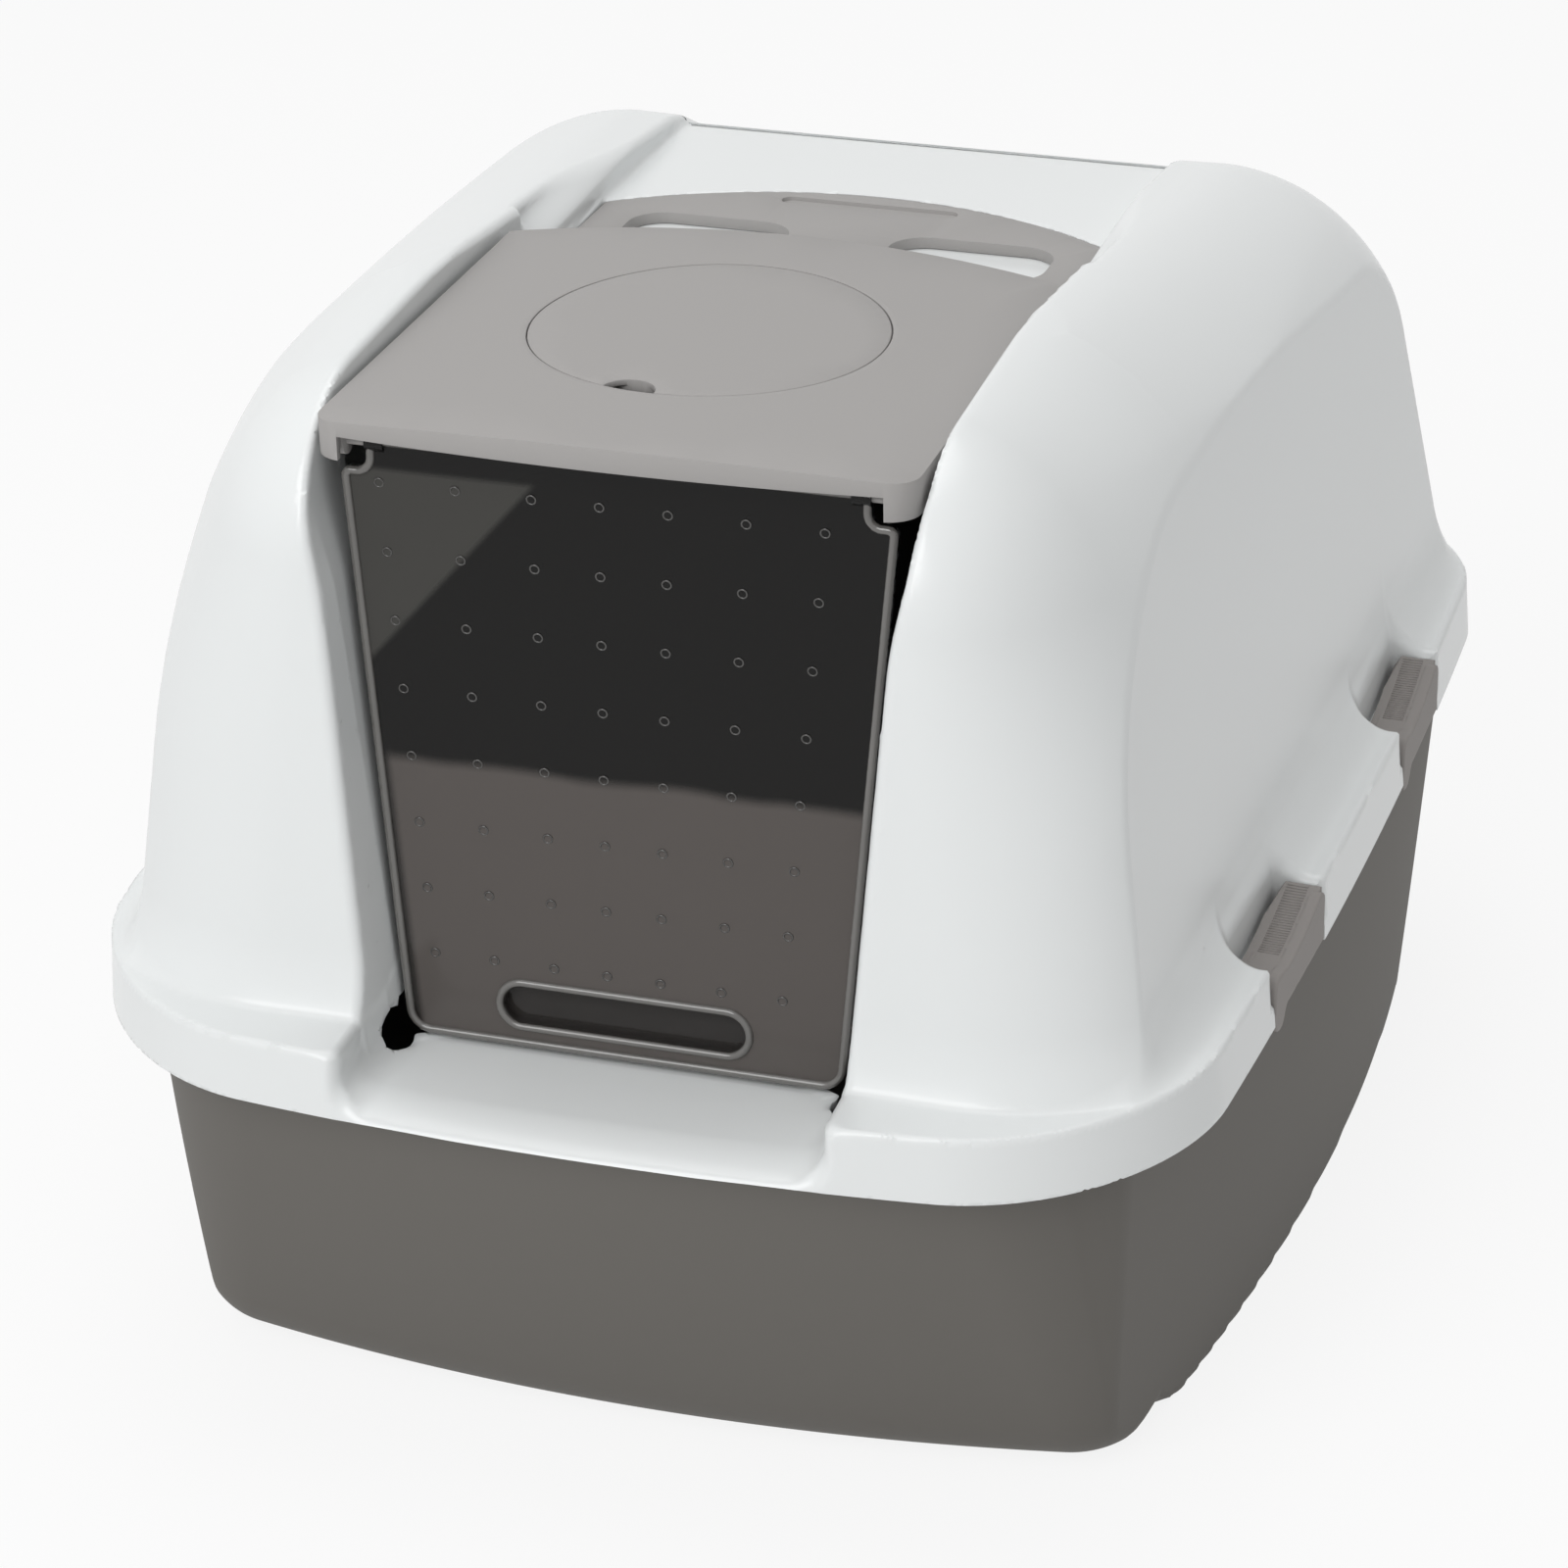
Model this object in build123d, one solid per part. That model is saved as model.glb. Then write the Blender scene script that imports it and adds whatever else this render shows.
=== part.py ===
from build123d import *
import math
import os

os.makedirs("parts", exist_ok=True)

# Covered litter box, millimetres. X to the right, front towards -Y, +Z up, origin on the floor.

# Plan of the rim where the hood sits on the pan
rim_length = 570.0
rim_width = 465.0
rim_front_bow = 22.0
rim_side_bow = 10.0
rim_rear_bow = 9.0
rim_widest_y = 145.0
rim_front_radius = 78.0
rim_rear_radius = 62.0
skirt_bottom_z = 156.0
skirt_height = 26.0
skirt_draft = 1.8
skirt_edge_chamfer = 1.4

# Plastic walls and general clearances
hood_wall = 3.0
pan_wall = 3.2
lid_wall = 2.8
seat_gap = 0.3
side_gap = 1.2
pivot_clearance = 0.08
pin_root = 0.5
tool_reach = 20.0

# Pan, a drafted tub: plan sizes at the floor and where its wall meets the rim
pan_foot_front_y = -230.0
pan_foot_rear_y = 246.0
pan_foot_half_width = 217.0
pan_foot_widest_y = 90.0
pan_foot_front_bow = 22.0
pan_foot_corner_reach = 7.1
pan_foot_front_radius = 30.0
pan_foot_side_radius = 1276.0
pan_neck_z = 150.0
pan_neck_front_y = -275.0
pan_neck_rear_y = 275.0
pan_neck_half_width = 223.0
pan_neck_widest_y = 145.0
pan_neck_front_bow = 26.0
pan_neck_corner_reach = 3.3
pan_neck_front_radius = 64.0
pan_neck_side_radius = 2070.0
pan_rear_bow = 9.0
pan_crease_radius = 3.0
pan_wrap_flare = 620.0
pan_rear_corner_radius = 58.0
pan_foot_radius = 26.0
pan_foot_steps = 3
pan_flange_thickness = 2.6
pan_dip_cover = 0.5

# Sill, the lowered front edge that the cat steps over, with a relief lobe at each end
sill_top_z = 162.0
sill_nose_z = 158.5
sill_flat_end_y = -262.0
sill_roll_share = 0.72
lobe_radius = 9.5
lobe_height = 11.0
lobe_x = 91.5
lobe_y = -233.0

# Hood shoulders: the flat side face, its profile and the crest profile in the side view
side_face_x = 196.5
side_face_y = -218.0
side_face_z = 188.0
side_face_toe = 0.040
side_face_draft = 0.125
side_front_foot_y = -221.0
side_front_top_y = -200.0
side_top_z = 366.0
side_slope_y = 0.0
side_rear_top_y = 203.0
side_rear_top_z = 338.0
side_rear_foot_y = 246.0
side_front_radius = 90.0
side_rear_radius = 60.0
crest_front_foot_y = -253.0
crest_front_top_y = -232.0
crest_top_z = 413.0
crest_slope_y = -80.0
crest_rear_top_y = 232.0
crest_rear_top_z = 371.5
crest_rear_foot_y = 268.0
crest_front_radius = 62.0
crest_rear_radius = 88.0
crest_distance = 62.0
top_blend_radius = 420.0
shoulder_inner_reach = 112.0
shoulder_foot_rise = 8.0
shoulder_inner_share = 0.97
shoulder_turns = (0.0, 0.28, 0.6, 1.0)

# Channel between the shoulders, and the low core under it
channel_half_width_sill = 91.0
channel_half_width_top = 113.2
channel_top_z = 400.0
channel_rear_half_width = 106.5
channel_rear_crest_half_width = 116.0
channel_rear_kerb_z = 384.0
channel_rear_crest_z = 396.0
channel_split_y = 6.0
jamb_back_y_sill = -213.0
jamb_back_y_top = -193.0
core_front_z = 391.0
core_rear_y = 244.0
core_rear_z = 368.0
core_rear_radius = 80.0
core_foot_y = 262.0
core_overlap = 12.0
hatch_half_width = 105.5
hatch_rear_y = 8.0

# Lid with its filter well
lid_front_y = -225.0
lid_rear_y = 0.0
lid_front_half_width = 111.5
lid_rear_half_width = 110.6
lid_front_top_z = 411.0
lid_rear_top_z = 403.0
lid_crown = 4.0
lid_front_bow = 6.0
lid_rear_bow = 15.0
lid_corner_radius = 12.0
lid_lip_depth = 9.0
lid_lip_half_width = 101.0
lid_rear_skirt_depth = 12.0
filter_y = -103.0
filter_cover_radius = 67.0
filter_seam = 0.6
filter_seat_width = 3.0
filter_collar = 2.4
filter_cup_depth = 14.5
filter_cup_wall = 2.5
filter_pad_thickness = 6.0
filter_cover_thickness = 2.4
cup_top_drop = 2.6
filter_ring_width = 2.0
filter_ring_inset = 6.0
vent_slot_width = 6.0
vent_slot_pitch = 15.0
vent_slot_reach = 52.0
finger_notch_radius = 10.0
finger_notch_x = -9.0

# Lid hinge
lid_hinge_y = -14.0
lid_hinge_z = 390.0
lid_lug_x = 96.0
lid_lug_width = 7.0
lid_lug_radius = 5.2
lug_post_step = 1.2
lid_pin_radius = 2.6
lid_pin_length = 6.2
hinge_boss_width = 6.2

# Flap and its pivot in the lid's ears
flap_pivot_y = -209.0
flap_pivot_z = 396.5
flap_lean_angle = 3.9
flap_drop = 233.0
flap_top_rise = 2.4
flap_thickness = 2.2
flap_half_width_top = 105.0
flap_half_width_bottom = 85.0
flap_notch_width = 11.0
flap_notch_height = 12.0
flap_corner_radius = 9.0
flap_notch_radius = 4.0
flap_bead_height = 0.9
flap_bead_width = 2.4
flap_pin_radius = 1.8
flap_eye_radius = 3.4
flap_eye_width = 7.0
ear_thickness = 4.6
ear_depth_y = 11.0
grip_length = 98.0
grip_height = 19.0
grip_depth = 6.0
grip_rise = 17.0

# Carry handle, a crescent that folds up from the channel floor
handle_hinge_y = 18.0
handle_rear_y = 115.0
handle_half_width = 104.5
handle_end_y = 78.0
handle_thickness = 4.6
handle_nose_share = 0.48
handle_gap = 0.7
handle_pin_radius = 1.7
handle_pin_length = 3.4
slot_length = 67.0
slot_height = 41.0
slot_radius = 15.0
slot_x = 54.5
slot_y = 52.5
thumb_length = 74.0
thumb_height = 8.0
thumb_depth = 1.6
thumb_y = 102.0

# Rim latches
latch_length = 68.0
latch_width = 17.0
latch_plate = 3.4
latch_proud = 1.6
front_latch_y = -91.0
rear_latch_y = 111.0
latch_rear_z = 181.0
latch_nose_z = 174.5
latch_trough_z = 172.5
latch_trough_share = 0.45
latch_saddle_share = 0.2
latch_saddle_rise = 2.2
latch_crown_share = 0.8
latch_tip_drop = 3.0
latch_floor_z = 168.6
latch_toe_z = 150.5
latch_toe_radius = 7.0
latch_claw_depth = 3.0
latch_pin_radius = 1.6
latch_pin_length = 3.6
latch_pin_inset = 3.2
latch_pin_lift = 0.6
latch_gap = 0.8
latch_back_gap = 2.0
latch_open_angle = 30.0

skirt_top_z = skirt_bottom_z + skirt_height
pan_top_z = latch_floor_z - latch_gap - hood_wall


def disc(x, y, radius):
    """Return a round face at a place in plan."""
    return Pos(x, y) * Circle(radius)


def arc_plan(front_y, rear_y, half_width, widest_y, front_radius, side_radius, rear_radius, corners):
    """Return a plan face bounded by a front, a rear and two side arcs with rounded corners."""
    face = disc(0, front_y + front_radius, front_radius)
    face &= disc(0, rear_y - rear_radius, rear_radius)
    face &= disc(half_width - side_radius, widest_y, side_radius)
    face &= disc(side_radius - half_width, widest_y, side_radius)
    front_corners = face.vertices().sort_by(Axis.Y)[:2]
    face = fillet(front_corners, corners[0])
    rear_corners = face.vertices().sort_by(Axis.Y)[-2:]
    return fillet(rear_corners, corners[1])


def bow_radius(half_chord, bow):
    """Return the radius of an arc from its half chord and its rise."""
    return (half_chord ** 2 + bow ** 2) / (2 * bow)


def rim_plan(inset):
    """Return the rim's outline, drawn in by a distance."""
    half_length = rim_length / 2
    half_width = rim_width / 2
    return arc_plan(
        inset - half_length,
        half_length - inset,
        half_width - inset,
        rim_widest_y,
        bow_radius(half_width, rim_front_bow) - inset,
        bow_radius(half_length, rim_side_bow) - inset,
        bow_radius(half_width, rim_rear_bow) - inset,
        (rim_front_radius - inset, rim_rear_radius - inset),
    )


def pan_plan(height, inset, tuck):
    """Return the pan's outline at a height, drawn in by a wall and tucked under at its ends."""
    share = height / pan_neck_z

    def between(foot, neck):
        return foot + (neck - foot) * share

    front_y = between(pan_foot_front_y, pan_neck_front_y) + inset + tuck
    rear_y = between(pan_foot_rear_y, pan_neck_rear_y) - inset - tuck
    half_width = between(pan_foot_half_width, pan_neck_half_width) - inset
    widest_y = between(pan_foot_widest_y, pan_neck_widest_y)
    side_radius = between(pan_foot_side_radius, pan_neck_side_radius) - inset
    front_bow = between(pan_foot_front_bow, pan_neck_front_bow)
    corner = between(pan_foot_front_radius, pan_neck_front_radius) - inset
    corner_y = front_y + front_bow + corner
    side_x = half_width - side_radius + math.sqrt(side_radius ** 2 - (corner_y - widest_y) ** 2)
    front_half = side_x + between(pan_foot_corner_reach, pan_neck_corner_reach)
    front_radius = bow_radius(front_half + inset, front_bow) - inset
    rear_radius = bow_radius(half_width, pan_rear_bow)
    wrap_y = corner_y + 2 * pan_wall
    low_y = front_y - pan_wall
    wrap = [(front_half + pan_wrap_flare, wrap_y + pan_wrap_flare), (front_half, wrap_y), (front_half, low_y)]
    face = make_face(Polyline(*mirrored(wrap), close=True)) & disc(0, front_y + front_radius, front_radius)
    face = fillet(face.vertices().sort_by(Axis.Y)[:2], corner)
    face &= disc(0, rear_y - rear_radius, rear_radius)
    face &= disc(half_width - side_radius, widest_y, side_radius)
    face &= disc(side_radius - half_width, widest_y, side_radius)
    face = fillet(face.vertices().sort_by(Axis.Y)[2:4], pan_crease_radius)
    return fillet(face.vertices().sort_by(Axis.Y)[-2:], pan_rear_corner_radius - inset)


def tub(inset, bottom_z, top_z, foot_radius):
    """Return the pan's solid form between two heights, its front and rear rounding under."""
    sections = []
    for step in range(pan_foot_steps + 1):
        angle = step / pan_foot_steps * math.pi / 2
        height = bottom_z + foot_radius * (1 - math.cos(angle))
        tuck = foot_radius * (1 - math.sin(angle))
        sections.append((Pos(0, 0, height) * pan_plan(height, inset, tuck)).face())
    sections.append((Pos(0, 0, top_z) * pan_plan(top_z, inset, 0)).face())
    return loft(sections, ruled=True)


def make_pan():
    """Return the tub with its flange and the lowered front edge."""
    body = tub(0, 0, pan_top_z, pan_foot_radius)
    body -= tub(pan_wall, pan_wall, pan_top_z + 1, pan_foot_radius - pan_wall)
    flange_z = pan_top_z - pan_flange_thickness
    outer = rim_plan(hood_wall + side_gap + skirt_draft)
    flange = extrude(Pos(0, 0, flange_z) * outer, pan_flange_thickness)
    flange -= extrude(Pos(0, 0, flange_z - pan_wall) * pan_plan(pan_top_z, pan_wall, 0), tool_reach)
    body += flange
    dip_z = skirt_bottom_z + pan_dip_cover
    dip_half = lobe_x + lobe_radius + hood_wall + side_gap
    dip = Pos(0, -rim_length / 2, dip_z + pan_top_z / 2) * Box(2 * dip_half, rim_length / 2, pan_top_z)
    return body - dip


def hood_profile(share, inset):
    """Return the hood's side view outline; share 0 is the side face and 1 the crest."""

    def between(side, crest):
        return side + (crest - side) * share

    foot_z = skirt_bottom_z + shoulder_foot_rise
    points = [
        (between(side_front_foot_y, crest_front_foot_y), foot_z),
        (between(side_front_top_y, crest_front_top_y), between(side_top_z, crest_top_z)),
        (between(side_slope_y, crest_slope_y), between(side_top_z, crest_top_z)),
        (between(side_rear_top_y, crest_rear_top_y), between(side_rear_top_z, crest_rear_top_z)),
        (between(side_rear_foot_y, crest_rear_foot_y), foot_z),
    ]
    radii = [
        between(side_front_radius, crest_front_radius),
        top_blend_radius,
        between(side_rear_radius, crest_rear_radius),
    ]
    path = FilletPolyline(*points, radius=radii)
    base = Line(points[-1], points[0])
    face = make_face(path.edges() + [base.edge()])
    if inset:
        face = offset(face, amount=-inset, kind=Kind.INTERSECTION)
    return face


def side_plane(depth):
    """Return the plane of the right side face, moved inwards by a depth."""
    normal = Vector(1, -side_face_toe, side_face_draft).normalized()
    level = Vector(0, 0, normal.Z * depth)
    origin = Vector(side_face_x, side_face_y, side_face_z) - normal * depth + level
    across = Vector(side_face_toe, 1, 0).normalized()
    return Plane(origin=origin, x_dir=across, z_dir=normal)


def shoulder(inset):
    """Return one rounded shoulder, lofted from its flat side face to its crest."""
    sections = []
    for turn in shoulder_turns:
        angle = turn * math.pi / 2
        depth = (crest_distance - inset) * (1 - math.cos(angle)) + inset
        sections.append(place_profile(math.sin(angle), inset, depth))
    sections.append(place_profile(shoulder_inner_share, inset, shoulder_inner_reach))
    return loft(sections, ruled=True)


def place_profile(share, inset, depth):
    """Return a hood profile set on the tilted side plane at a depth."""
    plane = side_plane(depth)
    face = hood_profile(share, inset).face()
    local = Location((-side_face_y, -side_face_z, 0))
    return (plane * local * face).face()


def floor_z(y):
    """Return the height of the channel floor and lid ledge at a place along Y."""
    slope = (core_rear_z - core_front_z) / (core_rear_y - jamb_back_y_top)
    return core_front_z + slope * (y - jamb_back_y_top)


def across_prism(points, y_from, y_to):
    """Return a prism along Y from a front view outline of X and Z points."""
    face = Plane((0, y_to, 0), x_dir=(1, 0, 0), z_dir=(0, -1, 0)) * make_face(Polyline(*points, close=True))
    return extrude(face, amount=y_to - y_from)


def mirrored(points):
    """Return right hand points followed by their mirror images, as a closed outline."""
    return points + [(-x, z) for x, z in reversed(points)]


def front_opening(grow, y_from, y_to):
    """Return the tapered prism between the shoulders from the sill up."""
    slope = (channel_half_width_top - channel_half_width_sill) / (channel_top_z - sill_top_z)
    low_z = sill_top_z - grow
    right = [
        (channel_half_width_sill + grow - slope * grow, low_z),
        (channel_half_width_top + grow, channel_top_z),
        (channel_half_width_top + grow, crest_top_z + tool_reach),
    ]
    return across_prism(mirrored(right), y_from, y_to)


def rear_channel(grow):
    """Return the prism of the channel behind the lid, with its flared sides."""
    right = [
        (channel_rear_half_width + grow, skirt_top_z - grow),
        (channel_rear_half_width + grow, channel_rear_kerb_z),
        (channel_rear_crest_half_width + grow, channel_rear_crest_z),
        (channel_rear_crest_half_width + grow, crest_top_z + tool_reach),
    ]
    return across_prism(mirrored(right), channel_split_y - grow, rim_length / 2)


def core_profile(inset):
    """Return the side view of the low core between the shoulders."""
    rear = core_rear_y - inset
    path = FilletPolyline(
        (jamb_back_y_top + inset, floor_z(jamb_back_y_top) - inset),
        (rear, floor_z(core_rear_y) - inset),
        (core_foot_y - inset, skirt_bottom_z),
        radius=core_rear_radius - inset,
    )
    front = Polyline(
        (core_foot_y - inset, skirt_bottom_z),
        (jamb_back_y_sill + inset, skirt_bottom_z),
        (jamb_back_y_sill + inset, sill_top_z),
        (jamb_back_y_top + inset, floor_z(jamb_back_y_top) - inset),
    )
    return make_face(path.edges() + front.edges())


def rim_x(y):
    """Return how far out the rim's side lies at a place along Y."""
    radius = bow_radius(rim_length / 2, rim_side_bow)
    return rim_width / 2 - radius + math.sqrt(radius ** 2 - (y - rim_widest_y) ** 2)


def latch_place(y):
    """Return the location of a right hand latch, its local X outwards and origin on the rim face."""
    radius = bow_radius(rim_length / 2, rim_side_bow)
    turn = math.degrees(math.asin((rim_widest_y - y) / radius))
    return Location((rim_x(y) - skirt_draft, y, 0), (0, 0, -turn))


def latch_pocket(grow):
    """Return the hollow for one latch in its own frame, grown by a wall."""
    depth = latch_width + latch_back_gap + grow
    length = latch_length + 2 * (latch_gap + grow)
    floor = latch_floor_z - latch_gap - grow
    top = skirt_top_z + latch_width
    middle = Pos((latch_width - depth) / 2, 0, (floor + top) / 2)
    return middle * Box(latch_width + depth, length, top - floor)


def latch_slot():
    """Return the cut through the skirt and the pocket floor for one latch's outer plate."""
    depth = latch_plate + side_gap
    length = latch_length + 2 * latch_gap
    middle = Pos((latch_width - depth) / 2, 0, skirt_bottom_z)
    return middle * Box(latch_width + depth, length, 2 * skirt_height)


def handle_plan(grow):
    """Return the crescent handle's outline in plan, grown by a gap."""
    half = handle_half_width + grow
    front = handle_hinge_y - handle_thickness / 2 - grow
    end = handle_end_y + grow
    path = Polyline((-half, end), (-half, front), (half, front), (half, end))
    arc = ThreePointArc((half, end), (0, handle_rear_y + grow), (-half, end))
    return make_face(path.edges() + [arc.edge()])


def floor_slab(y_from, y_to, top_drop, thickness):
    """Return a slab under the sloping channel floor, between two depths."""
    outline = Polyline(
        (y_from, floor_z(y_from) - top_drop),
        (y_to, floor_z(y_to) - top_drop),
        (y_to, floor_z(y_to) - top_drop - thickness),
        (y_from, floor_z(y_from) - top_drop - thickness),
        close=True,
    )
    return extrude(Plane.YZ * make_face(outline), amount=rim_width / 2, both=True)


def handle_recess(grow):
    """Return the hollow that the folded handle lies in, grown by a wall."""
    prism = extrude(Pos(0, 0, core_rear_z - 2 * tool_reach) * handle_plan(handle_gap + grow), 4 * tool_reach)
    depth = handle_thickness + seat_gap + grow
    slab = floor_slab(-2 * tool_reach, core_rear_y, -tool_reach, depth + tool_reach)
    return prism & slab


def sill_nose(inset):
    """Return the tool that rounds the sill down to the front edge, lowered by a wall."""
    front = inset - rim_length / 2
    flat_end = sill_flat_end_y + inset
    top = sill_top_z - inset
    low = sill_nose_z - inset
    past = front - tool_reach
    over = top + tool_reach
    path = Polyline((flat_end, top), (flat_end, over), (past, over), (past, low), (front, low))
    middle = ((front + flat_end) / 2, low + (top - low) * sill_roll_share)
    arc = ThreePointArc((front, low), middle, (flat_end, top))
    face = make_face(path.edges() + [arc.edge()])
    return extrude(Plane.YZ * face, amount=channel_half_width_sill + inset, both=True)


def hood_solid(inset):
    """Return the hood's closed form, drawn in by its wall where it is hollow."""
    bottom = skirt_bottom_z - (1 if inset else 0)
    lower = Pos(0, 0, bottom) * rim_plan(inset)
    upper = Pos(0, 0, skirt_top_z - inset) * rim_plan(inset + skirt_draft)
    base = loft([lower.face(), upper.face()], ruled=True)
    if not inset:
        base = chamfer(base.faces().sort_by(Axis.Z)[-1].edges(), skirt_edge_chamfer)
    right = shoulder(inset)
    core = extrude(Plane.YZ * core_profile(inset), amount=channel_half_width_top + core_overlap, both=True)
    above = front_opening(inset, -rim_length, channel_split_y) + rear_channel(inset)
    body = base - sill_nose(inset) + right + mirror(right, about=Plane.YZ) + core
    body -= above - core - Pos(0, rim_length / 2, skirt_top_z / 2 - inset / 2) * Box(
        rim_width, rim_length, skirt_top_z - inset
    )
    pocket = latch_pocket(inset)
    for y in (front_latch_y, rear_latch_y):
        right_pocket = latch_place(y) * pocket
        body -= right_pocket
        body -= mirror(right_pocket, about=Plane.YZ)
    below = Pos(0, 0, bottom - skirt_height) * Box(rim_width, rim_length, 2 * skirt_height)
    return body - handle_recess(inset) - below


def hinge_boss():
    """Return the right hand bored boss that carries the lid's hinge pin."""
    inner_x = lid_lug_x + lid_lug_width / 2 + seat_gap
    base_z = floor_z(lid_hinge_y) - hood_wall
    top_z = lid_hinge_z + lid_lug_radius
    length = 2 * lid_lug_radius
    reach = hatch_half_width + hood_wall - inner_x
    foot = Pos(inner_x + reach / 2, lid_hinge_y, base_z + hood_wall / 2) * Box(reach, length, hood_wall)
    post = Pos(inner_x + hinge_boss_width / 2, lid_hinge_y, (base_z + lid_hinge_z) / 2) * Box(
        hinge_boss_width, length, lid_hinge_z - base_z
    )
    place = Location((inner_x + hinge_boss_width / 2, lid_hinge_y, lid_hinge_z), (0, 90, 0))
    boss = foot + post + place * Cylinder(top_z - lid_hinge_z, hinge_boss_width)
    return boss - place * Cylinder(lid_pin_radius + pivot_clearance, 3 * hinge_boss_width)


def handle_axis_z():
    """Return the height of the handle's hinge axis."""
    return floor_z(handle_hinge_y) - handle_thickness / 2


def make_hood():
    """Return the hood shell with its entry, hatch, relief lobes and bored seats."""
    shell = hood_solid(0) - hood_solid(hood_wall)
    shell -= front_opening(0, -rim_length, jamb_back_y_top + 2 * hood_wall)
    hatch_length = hatch_rear_y - jamb_back_y_top
    hatch_y = (hatch_rear_y + jamb_back_y_top) / 2
    shell -= Pos(0, hatch_y, core_front_z) * Box(2 * hatch_half_width, hatch_length, 3 * tool_reach)
    boss = hinge_boss()
    pin_bore = Pos(channel_rear_half_width, handle_hinge_y, handle_axis_z()) * Rot(0, 90, 0) * Cylinder(
        handle_pin_radius + pivot_clearance, 2 * (handle_pin_length + side_gap)
    )
    lobe_z = sill_top_z + lobe_height / 2
    lobe = Pos(lobe_x, lobe_y, lobe_z) * Cylinder(lobe_radius, lobe_height + 4 * hood_wall)
    latch_bores = latch_pin_tool(latch_pin_length + side_gap, latch_pin_radius + pivot_clearance)
    for y in (front_latch_y, rear_latch_y):
        placed = latch_place(y) * latch_bores
        slot = latch_place(y) * latch_slot()
        shell -= placed + slot
        shell -= mirror(placed + slot, about=Plane.YZ)
    shell += boss + mirror(boss, about=Plane.YZ)
    shell -= pin_bore + mirror(pin_bore, about=Plane.YZ)
    shell -= lobe + mirror(lobe, about=Plane.YZ)
    return shell


def lid_plan(inset):
    """Return the lid's outline in plan, drawn in by a wall."""
    front = lid_front_y + lid_front_bow + inset
    rear = lid_rear_y - lid_rear_bow - inset
    front_half = lid_front_half_width - inset
    rear_half = lid_rear_half_width - inset
    sides = [Line((front_half, front), (rear_half, rear)), Line((-rear_half, rear), (-front_half, front))]
    front_arc = ThreePointArc((-front_half, front), (0, lid_front_y + inset), (front_half, front))
    rear_arc = ThreePointArc((rear_half, rear), (0, lid_rear_y - inset), (-rear_half, rear))
    face = make_face([sides[0].edge(), rear_arc.edge(), sides[1].edge(), front_arc.edge()])
    corners = face.vertices().sort_by(Axis.Y)[:2]
    return fillet(corners, lid_corner_radius - inset)


def lid_roof(drop):
    """Return the space under the lid's crowned, slightly sloping top, lowered by a drop."""
    start_y = lid_front_y - tool_reach / 2
    slope = (lid_rear_top_z - lid_front_top_z) / (lid_rear_y - lid_front_y)
    top = lid_front_top_z + slope * (start_y - lid_front_y) - drop
    half = lid_rear_half_width + side_gap
    base = core_rear_z - 2 * tool_reach
    path = Polyline((-half, top - lid_crown), (-half, base), (half, base), (half, top - lid_crown))
    arc = ThreePointArc((half, top - lid_crown), (0, top), (-half, top - lid_crown))
    face = Plane((0, start_y, 0), x_dir=(1, 0, 0), z_dir=(0, -1, 0)) * make_face(path.edges() + [arc.edge()])
    length = lid_rear_y + tool_reach - start_y
    run = Vector(0, 1, slope)
    return extrude(face, amount=length * run.length, dir=run)


def upright(radius, bottom_z, top_z, x=0.0, y=0.0):
    """Return a vertical cylinder between two heights."""
    return Pos(x, y, (bottom_z + top_z) / 2) * Cylinder(radius, top_z - bottom_z)


filter_top_z = lid_front_top_z + (lid_rear_top_z - lid_front_top_z) * (filter_y - lid_front_y) / (
    lid_rear_y - lid_front_y
)
cup_bottom_z = filter_top_z - filter_cup_depth
cup_floor_z = cup_bottom_z + filter_cup_wall
seat_radius = filter_cover_radius - filter_seat_width
collar_radius = filter_cover_radius + filter_seam


def make_lid():
    """Return the crowned lid with its skirt, ears, hinge lugs and filter cup."""
    top = lid_front_top_z + tool_reach / 4
    low = floor_z(lid_rear_y) - tool_reach
    block = extrude(Pos(0, 0, low) * lid_plan(0), 3 * tool_reach) & lid_roof(0)
    hollow = extrude(Pos(0, 0, low - tool_reach) * lid_plan(lid_wall), 4 * tool_reach) & lid_roof(lid_wall)
    lid = block - hollow
    lid -= floor_slab(lid_front_y - tool_reach, lid_rear_y + tool_reach, -seat_gap, 3 * tool_reach)
    lip_z = lid_front_top_z - lid_lip_depth
    lip_length = jamb_back_y_top + 3 * hood_wall - lid_front_y + tool_reach / 2
    lip_y = lid_front_y + (lip_length - tool_reach) / 2
    lid -= Pos(0, lip_y, lip_z - tool_reach) * Box(2 * lid_lip_half_width, lip_length, 2 * tool_reach)
    skirt_z = lid_rear_top_z - lid_rear_skirt_depth
    rear_reach = lid_rear_bow + 2 * lid_wall
    lid -= Pos(0, lid_rear_y - rear_reach / 2 + side_gap, skirt_z - tool_reach) * Box(
        2 * lid_rear_half_width + side_gap, rear_reach + 2 * side_gap, 2 * tool_reach)
    notch_x = lid_lug_x + lid_lug_width / 2 + lid_lug_radius
    notch_z = lid_hinge_z + lid_lug_radius + side_gap
    for side in (-1, 1):
        lid -= Pos(side * notch_x, lid_rear_y - rear_reach / 2, notch_z - tool_reach) * Box(
            2 * lid_lug_radius + 2 * side_gap, rear_reach, 2 * tool_reach)
        lid += ear(side) + lug(side)
    collar = upright(collar_radius + filter_collar, filter_top_z - 2 * lid_wall, top, 0, filter_y)
    cup = upright(collar_radius, cup_bottom_z, filter_top_z - cup_top_drop, 0, filter_y)
    lid += (collar + cup) & lid_roof(0)
    lid -= upright(seat_radius, cup_floor_z, top, 0, filter_y)
    seat_drop = filter_cover_thickness + seat_gap
    recess = upright(collar_radius, cup_bottom_z, top, 0, filter_y) - lid_roof(seat_drop)
    lid -= recess
    return lid - vent_slots() - finger_well()


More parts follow.
